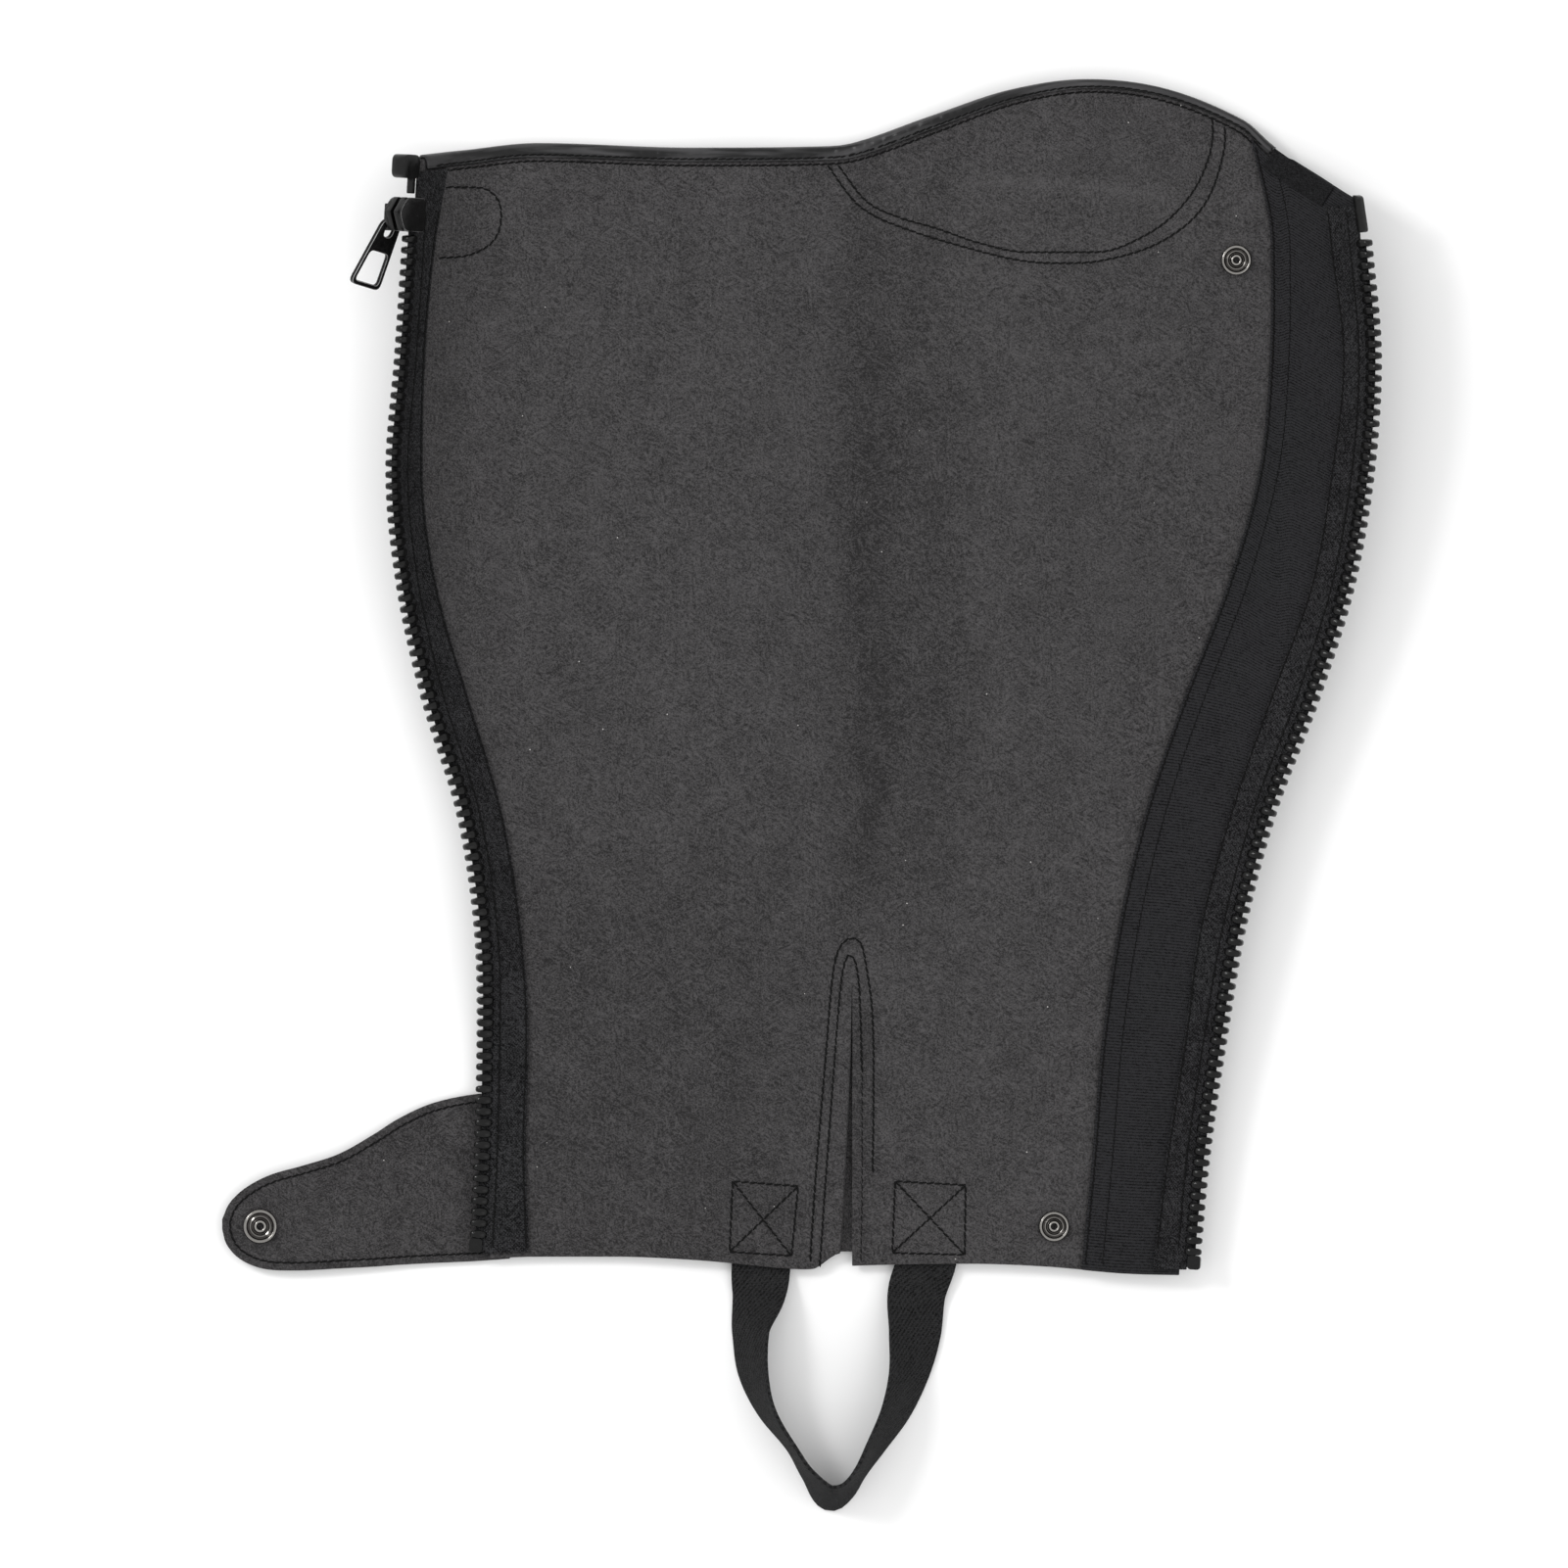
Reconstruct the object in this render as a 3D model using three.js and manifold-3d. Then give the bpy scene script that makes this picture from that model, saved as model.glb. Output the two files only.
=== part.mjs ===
// One riding half chap, unzipped and laid out flat with its inside facing up.
// Millimetres, +Z up, +Y towards the knee. The origin is under the middle of its outline, on the floor.
import * as THREE from "three";
import { mergeVertices } from "three/addons/utils/BufferGeometryUtils.js";
import Module from "manifold-3d";

const wasm = await Module();
wasm.setup();

// Driving dimensions
const LENGTH = 421.5; // hem to the top of the arch
const WIDTH = 360; // zip to zip across the calf
const EDGE_LIFT = 24; // how high the zip edges curl off the floor
const LEFT_CURL = 36; // width of the curled strip on the left
const RIGHT_CURL = 45; // width of the curled strip on the right
const VALLEY_DEPTH = 6; // depth of the soft crease down the middle
const VALLEY_HALF = 40; // half the width of that crease
const REST_LIFT = 2.3; // how far the trims underneath hold the panel off the floor
const TIP_LIFT = 2.2; // how far the snap holds up the tip of the ankle flap
const LEATHER = 1.8; // panel and flap
const TRIM = 1.2; // overlays and inset under the panel
const ELASTIC = 1.2; // gusset
const TAPE = 1.0; // zip tape
const GAP = 0.3; // clearance between hard pieces
const LAP_GAP = 0.4; // clearance between sheets that lie on each other
const SEAM_LAP = 9; // how far the gusset laps over the panel
const BINDING_WALL = 1.0;
const BINDING_GAP = 0.5; // between the binding and the panel inside it
const BINDING_DEPTH = 5; // how far the binding reaches over each face
const TOOTH_PITCH = 4.0;
const TOOTH_LENGTH = 2.2; // along the zip
const TOOTH_REACH = 4.6; // from the edge of the tape to the tip of a tooth
const TOOTH_HALF = 2.1; // half the height of a tooth
const CORD_REACH = 1.5; // the cord that carries the teeth
const CORD_HALF = 0.9;
const SNAP_RADIUS = 6.2;
const SNAP_STEM = 2.2; // radius of the stem through the leather
const SNAP_RING = 1.5; // height of the ring on the inside
const SNAP_CAP = 2.0; // height of the cap outside the flap
const STUD_POST = 3.2; // height of the stud outside the panel
const STUD_RADIUS = 2.9;
const SNAP_SIDES = 10;
const ROWS = 24; // cells from hem to top in every upright piece
const STRAP_WIDTH = 21;
const STRAP_THICKNESS = 1.3;
const STRAP_DROP = 84; // hem to the middle of the loop's end
const STRAP_SPREAD = 59; // between the middles of its two ends
const STRAP_MIDDLE = -2; // its middle, to the side of the slit
const SLIT_HEIGHT = 99;
const SLIT_MOUTH = 4.6;
const INSET_HEIGHT = 114.5;
const INSET_WIDTH = 23;
const FLAP_REACH = 103; // from the panel's edge to the tip
const FLAP_HEIGHT = 64;
const FLAP_LAP = 15; // how far the flap's root reaches in under the panel
const STOP_LENGTH = 5; // lower stops of the zip
const STOP_HALF = 1.9; // half the height of a stop
const PIN_LENGTH = 12.5; // pin at the top of the right half
const PIN_HALF = 1.5;
const BOX_HEIGHT = 8.5; // box at the top of the left half
const BOX_WIDTH = 10.5;
const BOX_HALF = 3;
const BOX_PIN_WIDTH = 2.2; // thin pin in its foot
const BOX_PIN_HALF = 1.2;
const PLATE_LENGTH = 12; // slider
const PLATE_WIDTH = 14;
const PLATE_THICKNESS = 1.6;
const PLATE_LAP = 1.5; // how far its plates reach over the tape
const WEDGE_WIDTH = 3; // post between the plates
const BAIL_TUNNEL = 3.4;
const BAIL_BAR = 1.4;
const PULL_LENGTH = 25;
const PULL_TOP = 9;
const PULL_FOOT = 15;
const PULL_THICKNESS = 1.6;
const PULL_BAR = 1.6; // width of the pull's frame
const PULL_SWING = 20; // degrees that the pull stands off the slider
const PULL_YAW = 8; // degrees that it leans to the side

// Layers, measured up from the panel's outer face
const TAPE_LOW = LEATHER + LAP_GAP;
const GUSSET_LOW = LEATHER + LAP_GAP;
const RIGHT_TAPE_LOW = GUSSET_LOW + ELASTIC + LAP_GAP;
const FLAP_LOW = -LAP_GAP - LEATHER;
const TRIM_LOW = -LAP_GAP - TRIM;

// The upright edges: shares of LENGTH up, and of WIDTH to the side.
// seam: edge of the grey lining; gusset: edge of the right tape; left, right: tips of the teeth.
const EDGES = [
  { up: -0.03, left: -0.381, leftSeam: -0.321, rightSeam: 0.227, gusset: 0.296, right: 0.345 },
  { up: 0.0, left: -0.3805, leftSeam: -0.321, rightSeam: 0.2285, gusset: 0.3, right: 0.347 },
  { up: 0.095, left: -0.375, leftSeam: -0.324, rightSeam: 0.239, gusset: 0.314, right: 0.358 },
  { up: 0.19, left: -0.373, leftSeam: -0.321, rightSeam: 0.2485, gusset: 0.332, right: 0.375 },
  { up: 0.286, left: -0.378, leftSeam: -0.329, rightSeam: 0.265, gusset: 0.3485, right: 0.395 },
  { up: 0.381, left: -0.396, leftSeam: -0.348, rightSeam: 0.2915, gusset: 0.379, right: 0.4255 },
  { up: 0.476, left: -0.4305, leftSeam: -0.381, rightSeam: 0.3295, gusset: 0.418, right: 0.468 },
  { up: 0.571, left: -0.455, leftSeam: -0.412, rightSeam: 0.372, gusset: 0.4595, right: 0.503 },
  { up: 0.667, left: -0.4655, leftSeam: -0.4255, rightSeam: 0.4035, gusset: 0.4805, right: 0.523 },
  { up: 0.762, left: -0.457, leftSeam: -0.423, rightSeam: 0.415, gusset: 0.4925, right: 0.53 },
  { up: 0.857, left: -0.4495, leftSeam: -0.413, rightSeam: 0.4165, gusset: 0.4805, right: 0.521 },
  { up: 0.95, left: -0.443, leftSeam: -0.395, rightSeam: 0.396, gusset: 0.468, right: 0.511 },
];

// The top and bottom outlines: shares of WIDTH to the side, and of LENGTH up.
const TOP = [
  { side: -0.46, up: 0.93 }, { side: -0.428, up: 0.935 }, { side: -0.389, up: 0.9395 },
  { side: -0.311, up: 0.946 }, { side: -0.156, up: 0.942 }, { side: -0.039, up: 0.943 },
  { side: 0.0, up: 0.946 }, { side: 0.078, up: 0.969 }, { side: 0.156, up: 0.991 },
  { side: 0.233, up: 1.0 }, { side: 0.311, up: 0.992 }, { side: 0.389, up: 0.965 },
  { side: 0.421, up: 0.942 }, { side: 0.467, up: 0.917 }, { side: 0.506, up: 0.896 },
  { side: 0.54, up: 0.885 },
];
const HEM = [
  { side: -0.4, up: -0.0017 }, { side: -0.311, up: 0.0017 }, { side: -0.233, up: 0.0017 },
  { side: -0.156, up: -0.001 }, { side: -0.04, up: -0.009 }, { side: 0.0, up: -0.006 },
  { side: 0.117, up: -0.0043 }, { side: 0.194, up: -0.0066 }, { side: 0.272, up: -0.0126 },
  { side: 0.36, up: -0.014 },
];

// How the sheet lies: shares of REST_LIFT, EDGE_LIFT (left and right), VALLEY_DEPTH and WIDTH (crease).
const LIE = [
  { up: -0.05, rest: 1.0, left: 0.0, right: 0.1, valley: 0.28, crease: 0.0 },
  { up: 0.0, rest: 1.0, left: 0.0, right: 0.1, valley: 0.28, crease: 0.0 },
  { up: 0.15, rest: 1.0, left: 0.0, right: 0.22, valley: 0.3, crease: 0.0 },
  { up: 0.27, rest: 1.0, left: 0.38, right: 0.35, valley: 0.55, crease: 0.005 },
  { up: 0.36, rest: 0.2, left: 0.5, right: 0.4, valley: 1.0, crease: 0.028 },
  { up: 0.5, rest: 0.0, left: 0.64, right: 0.5, valley: 1.0, crease: 0.033 },
  { up: 0.6, rest: 0.0, left: 0.9, right: 0.68, valley: 1.0, crease: 0.033 },
  { up: 0.7, rest: 0.0, left: 1.0, right: 0.88, valley: 1.0, crease: 0.033 },
  { up: 0.78, rest: 0.0, left: 1.0, right: 1.0, valley: 0.9, crease: 0.033 },
  { up: 0.87, rest: 0.85, left: 1.0, right: 1.0, valley: 0.7, crease: 0.033 },
  { up: 1.0, rest: 0.85, left: 1.0, right: 1.0, valley: 0.6, crease: 0.033 },
];

// Slope of a column at a row, level where the column turns back, so that the curve never overshoots.
function slopeAt(before, row, after, at, name) {
  const rise = (row[name] - before[name]) * (after[name] - row[name]);
  if (before !== row && row !== after && rise <= 0) return 0;
  return (after[name] - before[name]) / (after[at] - before[at]);
}

// A smooth curve through one column of a table, read at a share.
function column(rows, at, name) {
  return (share) => {
    let i = 0;
    while (i < rows.length - 2 && share > rows[i + 1][at]) i += 1;
    const before = rows[Math.max(i - 1, 0)];
    const a = rows[i];
    const b = rows[i + 1];
    const after = rows[Math.min(i + 2, rows.length - 1)];
    const span = b[at] - a[at];
    const t = THREE.MathUtils.clamp((share - a[at]) / span, 0, 1);
    const startSlope = slopeAt(before, a, b, at, name) * span;
    const endSlope = slopeAt(a, b, after, at, name) * span;
    return (
      (2 * t ** 3 - 3 * t ** 2 + 1) * a[name] +
      (t ** 3 - 2 * t ** 2 + t) * startSlope +
      (3 * t ** 2 - 2 * t ** 3) * b[name] +
      (t ** 3 - t ** 2) * endSlope
    );
  };
}

function edge(name) {
  const share = column(EDGES, "up", name);
  return (y) => WIDTH * share(y / LENGTH);
}

const leftTeeth = edge("left");
const leftSeam = edge("leftSeam");
const rightSeam = edge("rightSeam");
const gussetEdge = edge("gusset");
const rightTeeth = edge("right");
const topShare = column(TOP, "side", "up");
const hemShare = column(HEM, "side", "up");
const topEdge = (x) => LENGTH * topShare(x / WIDTH);
const hemEdge = (x) => LENGTH * hemShare(x / WIDTH);
const topSlope = (x) => (topEdge(x + 1) - topEdge(x - 1)) / 2;

// How far down from the top edge a place lies that is the given distance in from it.
const belowTop = (x, distance) => distance * Math.hypot(1, topSlope(x));

const lie = {};
for (const name of ["rest", "left", "right", "valley", "crease"]) lie[name] = column(LIE, "up", name);

// Height of the panel's outer face over the floor.
function height(x, y) {
  const up = y / LENGTH;
  const leftShare = Math.max(0, 1 - (x - leftTeeth(y)) / LEFT_CURL);
  const rightShare = Math.max(0, 1 - (rightTeeth(y) - x) / RIGHT_CURL);
  const off = x - WIDTH * lie.crease(up);
  const flank = 1 - Math.exp(-((off / VALLEY_HALF) ** 2));
  const settle = THREE.MathUtils.smoothstep(Math.abs(off), VALLEY_HALF, 2.4 * VALLEY_HALF);
  const kept = off < 0 ? 1 - 0.9 * settle : 1 - 0.15 * settle;
  const beyond = THREE.MathUtils.smoothstep(leftTeeth(y) - x, 0, 0.6 * FLAP_REACH);
  return (
    REST_LIFT * lie.rest(up) +
    EDGE_LIFT * lie.left(up) * Math.min(leftShare, 1.05) ** 2 +
    EDGE_LIFT * lie.right(up) * Math.min(rightShare, 1.05) ** 2 +
    VALLEY_DEPTH * lie.valley(up) * flank * kept +
    TIP_LIFT * beyond
  );
}

function normalAt(x, y) {
  const step = 0.5;
  const slopeX = (height(x + step, y) - height(x - step, y)) / (2 * step);
  const slopeY = (height(x, y + step) - height(x, y - step)) / (2 * step);
  return new THREE.Vector3(-slopeX, -slopeY, 1).normalize();
}

// A point of the laid sheet, off the panel's outer face by the given layer height.
function lay(x, y, off) {
  return new THREE.Vector3(x, y, height(x, y)).addScaledVector(normalAt(x, y), off);
}

// A place some way in from the tips of the teeth, measured over the curled sheet.
function inFrom(teeth, distance) {
  const side = teeth === leftTeeth ? 1 : -1;
  return (y) => {
    const x = teeth(y);
    return x + side * distance * normalAt(x + side * distance, y).z;
  };
}

// Solids
function closed(points, faces) {
  const geometry = new THREE.BufferGeometry();
  geometry.setAttribute("position", new THREE.Float32BufferAttribute(points.flatMap((p) => p.toArray()), 3));
  geometry.setIndex(faces.flat());
  let volume = 0;
  for (const [a, b, c] of faces) {
    volume += points[a].dot(new THREE.Vector3().crossVectors(points[b], points[c]));
  }
  if (volume < 0) geometry.setIndex(faces.flatMap(([a, b, c]) => [a, c, b]));
  return geometry;
}

// A laid sheet of even thickness over a patch of the plan, given as a function of two shares.
function sheet(patch, across, along, low, thickness) {
  const points = [];
  for (const off of [low, low + thickness]) {
    for (let j = 0; j <= along; j += 1) {
      for (let i = 0; i <= across; i += 1) {
        const [x, y] = patch(i / across, j / along);
        points.push(lay(x, y, off));
      }
    }
  }
  const row = across + 1;
  const layer = row * (along + 1);
  const at = (i, j, top) => j * row + i + (top ? layer : 0);
  const faces = [];
  const quad = (a, b, c, d) => faces.push([a, b, c], [a, c, d]);
  for (let j = 0; j < along; j += 1) {
    for (let i = 0; i < across; i += 1) {
      quad(at(i, j, 1), at(i + 1, j, 1), at(i + 1, j + 1, 1), at(i, j + 1, 1));
      quad(at(i, j, 0), at(i, j + 1, 0), at(i + 1, j + 1, 0), at(i + 1, j, 0));
    }
  }
  for (let i = 0; i < across; i += 1) {
    quad(at(i, 0, 0), at(i + 1, 0, 0), at(i + 1, 0, 1), at(i, 0, 1));
    quad(at(i + 1, along, 0), at(i, along, 0), at(i, along, 1), at(i + 1, along, 1));
  }
  for (let j = 0; j < along; j += 1) {
    quad(at(0, j + 1, 0), at(0, j, 0), at(0, j, 1), at(0, j + 1, 1));
    quad(at(across, j, 0), at(across, j + 1, 0), at(across, j + 1, 1), at(across, j, 1));
  }
  return closed(points, faces);
}

// A solid through a row of rings that all have the same number of points.
function loft(rings, section) {
  const count = section.length;
  const faces = [];
  for (let r = 0; r < rings.length - 1; r += 1) {
    for (let i = 0; i < count; i += 1) {
      const a = r * count + i;
      const b = r * count + ((i + 1) % count);
      faces.push([a, b, b + count], [a, b + count, a + count]);
    }
  }
  const last = (rings.length - 1) * count;
  const turn = THREE.ShapeUtils.isClockWise(section) ? -1 : 1;
  for (const [a, b, c] of THREE.ShapeUtils.triangulateShape(section, [])) {
    if (turn > 0) faces.push([a, c, b], [a + last, b + last, c + last]);
    else faces.push([a, b, c], [a + last, c + last, b + last]);
  }
  return closed(rings.flat(), faces);
}

function rectangle(x0, x1, y0, y1) {
  return [
    new THREE.Vector2(x0, y0), new THREE.Vector2(x1, y0),
    new THREE.Vector2(x1, y1), new THREE.Vector2(x0, y1),
  ];
}

function solidOf(geometry) {
  const plain = new THREE.BufferGeometry();
  plain.setAttribute("position", geometry.getAttribute("position"));
  plain.setIndex(geometry.index);
  const merged = mergeVertices(plain, 1e-4);
  return new wasm.Manifold(
    new wasm.Mesh({
      numProp: 3,
      vertProperties: new Float32Array(merged.attributes.position.array),
      triVerts: new Uint32Array(merged.index.array),
    }),
  );
}

function geometryOf(solid) {
  const mesh = solid.getMesh();
  const geometry = new THREE.BufferGeometry();
  geometry.setAttribute("position", new THREE.Float32BufferAttribute(mesh.vertProperties, 3));
  geometry.setIndex(Array.from(mesh.triVerts));
  return geometry;
}

function cut(geometry, ...tools) {
  return geometryOf(tools.reduce((solid, tool) => solid.subtract(solidOf(tool)), solidOf(geometry)));
}

function join(first, ...others) {
  return geometryOf(others.reduce((solid, piece) => solid.add(solidOf(piece)), solidOf(first)));
}

function block(x0, x1, y0, y1, z0, z1) {
  const box = new THREE.BoxGeometry(x1 - x0, y1 - y0, z1 - z0);
  return box.translate((x0 + x1) / 2, (y0 + y1) / 2, (z0 + z1) / 2);
}

function plate(outline, low, thickness) {
  const shape = new THREE.Shape(outline.map(([x, y]) => new THREE.Vector2(x, y)));
  return new THREE.ExtrudeGeometry(shape, { depth: thickness, bevelEnabled: false }).translate(0, 0, low);
}

// A patch between two upright edges, from the hem to the top edge, kept in from both by a margin.
// Crowding, from 0 to 1, draws its columns towards the two edges, where the sheet curls most.
function upright(fromEdge, toEdge, hemMargin, topMargin, crowding = 0) {
  return (u, v) => {
    const across = THREE.MathUtils.lerp(u, 0.5 - 0.5 * Math.cos(Math.PI * u), crowding);
    let y = v * LENGTH;
    let x = 0;
    for (let round = 0; round < 6; round += 1) {
      x = THREE.MathUtils.lerp(fromEdge(y), toEdge(y), across);
      y = THREE.MathUtils.lerp(hemEdge(x) + hemMargin, topEdge(x) - topMargin(x), v);
    }
    return [x, y];
  };
}

// A patch ruled between two plan curves.
function ruled(from, to) {
  const a = new THREE.SplineCurve(from.map(([x, y]) => new THREE.Vector2(x, y)));
  const b = new THREE.SplineCurve(to.map(([x, y]) => new THREE.Vector2(x, y)));
  return (u, v) => {
    const p = a.getPoint(u).lerp(b.getPoint(u), v);
    return [p.x, p.y];
  };
}

// The frame of a place on the zip: x to the right across the tape, y along it, z off its inside face.
function zipFrame(line, y, off) {
  const origin = lay(line(y), y, off);
  const along = lay(line(y + 1), y + 1, off).sub(lay(line(y - 1), y - 1, off)).normalize();
  const across = new THREE.Vector3().crossVectors(along, normalAt(line(y), y)).normalize();
  const up = new THREE.Vector3().crossVectors(across, along);
  return new THREE.Matrix4().makeBasis(across, along, up).setPosition(origin);
}

// Materials
function finish(color, roughness, metalness = 0) {
  return new THREE.MeshStandardMaterial({ color, roughness, metalness });
}
const lining = () => finish(0x454344, 0.95);
const leather = () => finish(0x1b1b1d, 0.45);
const elasticWeb = () => finish(0x272729, 0.85);
const tapeCloth = () => finish(0x2a2a2b, 0.9);
const mouldedPlastic = () => finish(0x141414, 0.35);
const blackMetal = () => finish(0x1a1a1a, 0.35, 0.8);
const gunmetal = () => finish(0x6a665f, 0.3, 1);
const webbing = () => finish(0x232323, 0.9);

const chap = new THREE.Group();

function add(name, geometry, material, frame = null) {
  const mesh = new THREE.Mesh(geometry, material);
  mesh.name = name;
  if (frame) mesh.applyMatrix4(frame);
  chap.add(mesh);
  return mesh;
}

// Snaps: a ring on the inside, a stem through the leather, and a cap or a stud outside
const flapRoot = leftTeeth(0) + FLAP_LAP;
const FLAP_SNAP = [flapRoot - 0.868 * FLAP_REACH, 0.181 * FLAP_HEIGHT];
const LOWER_STUD = [0.2003 * WIDTH, 0.0275 * LENGTH];
const UPPER_STUD = [0.3811 * WIDTH, 0.8463 * LENGTH];

function snapFrame([x, y]) {
  const up = normalAt(x, y);
  const across = new THREE.Vector3(1, 0, 0).addScaledVector(up, -up.x).normalize();
  const along = new THREE.Vector3().crossVectors(up, across);
  return new THREE.Matrix4().makeBasis(across, along, up).setPosition(lay(x, y, 0));
}

function turned(profile) {
  const points = profile.map(([r, z]) => new THREE.Vector2(r, z));
  return new THREE.LatheGeometry(points, SNAP_SIDES).rotateX(Math.PI / 2);
}

function ringProfile(face) {
  return [
    [SNAP_STEM, face], [0.97 * SNAP_RADIUS, face], [SNAP_RADIUS, face + 0.4 * SNAP_RING],
    [0.88 * SNAP_RADIUS, face + SNAP_RING], [0.66 * SNAP_RADIUS, face + 0.9 * SNAP_RING],
    [0.55 * SNAP_RADIUS, face + 0.4 * SNAP_RING], [0.28 * SNAP_RADIUS, face + 0.4 * SNAP_RING],
    [0.25 * SNAP_RADIUS, face + SNAP_RING], [0.12 * SNAP_RADIUS, face + SNAP_RING],
    [0, face + 0.3 * SNAP_RING],
  ];
}

function capSnap(low, high) {
  const cap = [
    [0, low - SNAP_CAP], [0.7 * SNAP_RADIUS, low - 0.85 * SNAP_CAP],
    [SNAP_RADIUS, low - 0.2 * SNAP_CAP], [SNAP_RADIUS, low],
  ];
  return turned([...cap, [SNAP_STEM, low], ...ringProfile(high)]);
}

function studSnap(low, high) {
  const post = [
    [0, low - STUD_POST], [0.8 * STUD_RADIUS, low - STUD_POST], [STUD_RADIUS, low - 0.75 * STUD_POST],
    [0.7 * STUD_RADIUS, low - 0.4 * STUD_POST], [0.7 * STUD_RADIUS, low - 0.25 * STUD_POST],
    [0.85 * SNAP_RADIUS, low - 0.2 * STUD_POST], [0.85 * SNAP_RADIUS, low],
  ];
  return turned([...post, [SNAP_STEM, low], ...ringProfile(high)]);
}

function snapHole(place) {
  const hole = new THREE.CylinderGeometry(SNAP_STEM + GAP, SNAP_STEM + GAP, 6 * LEATHER, SNAP_SIDES);
  return hole.rotateX(Math.PI / 2).applyMatrix4(snapFrame(place));
}

// Main panel, slit up from the hem
const panelLeft = inFrom(leftTeeth, TOOTH_REACH + 3);
const panelRight = (y) => rightSeam(y) + SEAM_LAP;
const slitOutline = [
  [-0.5 * GAP, SLIT_HEIGHT], [-SLIT_MOUTH, -0.05 * LENGTH], [0.5, -0.05 * LENGTH], [0.5 * GAP, SLIT_HEIGHT],
];
const slit = plate(slitOutline, -EDGE_LIFT, 2 * EDGE_LIFT);
add(
  "main_panel",
  cut(
    sheet(upright(panelLeft, panelRight, 0, () => GAP, 0.8), 20, ROWS, 0, LEATHER),
    slit,
    snapHole(LOWER_STUD),
    snapHole(UPPER_STUD),
  ),
  lining(),
);

// Inset that closes the slit from outside, an arched gore
const insetHalf = 0.5 * INSET_WIDTH;
const insetMiddle = -0.16 * INSET_WIDTH;
const insetFoot = 0.022 * INSET_HEIGHT;
function insetPatch(u, v) {
  const half = insetHalf * Math.sqrt(1 - 0.97 * v ** 4);
  const lean = insetMiddle * (1 - v);
  return [lean + half * (2 * u - 1), THREE.MathUtils.lerp(insetFoot, INSET_HEIGHT, v)];
}
add("slit_inset", sheet(insetPatch, 2, 12, TRIM_LOW, TRIM), leather());

// Knee overlay outside the arch, and the sewn base of the top tab
const overlayTop = BINDING_DEPTH + 3 * GAP;
const OVERLAY = [
  { side: -0.03, up: 0.924 }, { side: 0.0, up: 0.893 }, { side: 0.04, up: 0.868 }, { side: 0.1, up: 0.852 },
  { side: 0.178, up: 0.838 }, { side: 0.244, up: 0.839 }, { side: 0.3, up: 0.853 }, { side: 0.34, up: 0.88 },
  { side: 0.37, up: 0.925 },
];
const overlayFoot = column(OVERLAY, "side", "up");
function overlayPatch(u, v) {
  const side = THREE.MathUtils.lerp(OVERLAY[0].side, OVERLAY[OVERLAY.length - 1].side, u);
  const x = WIDTH * side;
  return [x, THREE.MathUtils.lerp(LENGTH * overlayFoot(side), topEdge(x) - belowTop(x, overlayTop), v)];
}
add("knee_overlay", sheet(overlayPatch, 14, 4, TRIM_LOW, TRIM), leather());

const TAB_LEFT = -0.412 * WIDTH;
const TAB_REACH = 20;
const TAB_MIDDLE = 0.875 * LENGTH;
const TAB_HALF = 13.5;
function tabPatch(u, v) {
  const half = TAB_HALF * Math.sqrt(1 - 0.96 * u ** 3);
  return [TAB_LEFT + TAB_REACH * u, TAB_MIDDLE + half * (2 * v - 1)];
}
add("tab_base", sheet(tabPatch, 6, 2, TRIM_LOW, TRIM), leather());

// Folded leather binding over the top edge
const BINDING_FROM = -0.428 * WIDTH;
const BINDING_TO = 0.421 * WIDTH;
const BINDING_STEPS = 30;
const bindingOut = -BINDING_GAP - BINDING_WALL;
const bindingHigh = LEATHER + BINDING_GAP;
const bindingSection = [
  [BINDING_DEPTH, bindingHigh], [BINDING_DEPTH, bindingHigh + BINDING_WALL],
  [bindingOut, bindingHigh + BINDING_WALL], [bindingOut, bindingOut],
  [BINDING_DEPTH, bindingOut], [BINDING_DEPTH, -BINDING_GAP],
  [-BINDING_GAP, -BINDING_GAP], [-BINDING_GAP, bindingHigh],
].map(([x, y]) => new THREE.Vector2(x, y));
const bindingRings = [];
for (let i = 0; i <= BINDING_STEPS; i += 1) {
  const x = THREE.MathUtils.lerp(BINDING_FROM, BINDING_TO, i / BINDING_STEPS);
  const inward = new THREE.Vector2(topSlope(x), -1).normalize();
  bindingRings.push(
    bindingSection.map((p) => lay(x + p.x * inward.x, topEdge(x) + p.x * inward.y, p.y)),
  );
}
add("top_binding", loft(bindingRings, bindingSection), leather());

// Elastic gusset on the right, lapped over the panel and under the zip tape
const gussetRight = inFrom(rightTeeth, TOOTH_REACH + 3);
const bindingFoot = BINDING_DEPTH + 3 * GAP;
const pastBinding = (x) => THREE.MathUtils.smoothstep(x, BINDING_TO + 3, BINDING_TO + 12);
const underBinding = (x) => belowTop(x, bindingFoot) * (1 - pastBinding(x));
add(
  "elastic_gusset",
  sheet(upright(rightSeam, gussetRight, 0, underBinding), 5, ROWS, GUSSET_LOW, ELASTIC),
  elasticWeb(),
);

// Zip tapes
const leftTapeEdge = inFrom(leftTeeth, TOOTH_REACH + GAP);
const rightTapeEdge = inFrom(rightTeeth, TOOTH_REACH + GAP);
add(
  "zip_tape_left",
  sheet(upright(leftTapeEdge, leftSeam, 2, () => bindingFoot), 2, ROWS, TAPE_LOW, TAPE),
  tapeCloth(),
);
add(
  "zip_tape_right",
  sheet(upright(gussetEdge, rightTapeEdge, 2, () => 3), 2, ROWS, RIGHT_TAPE_LOW, TAPE),
  tapeCloth(),
);

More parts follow.
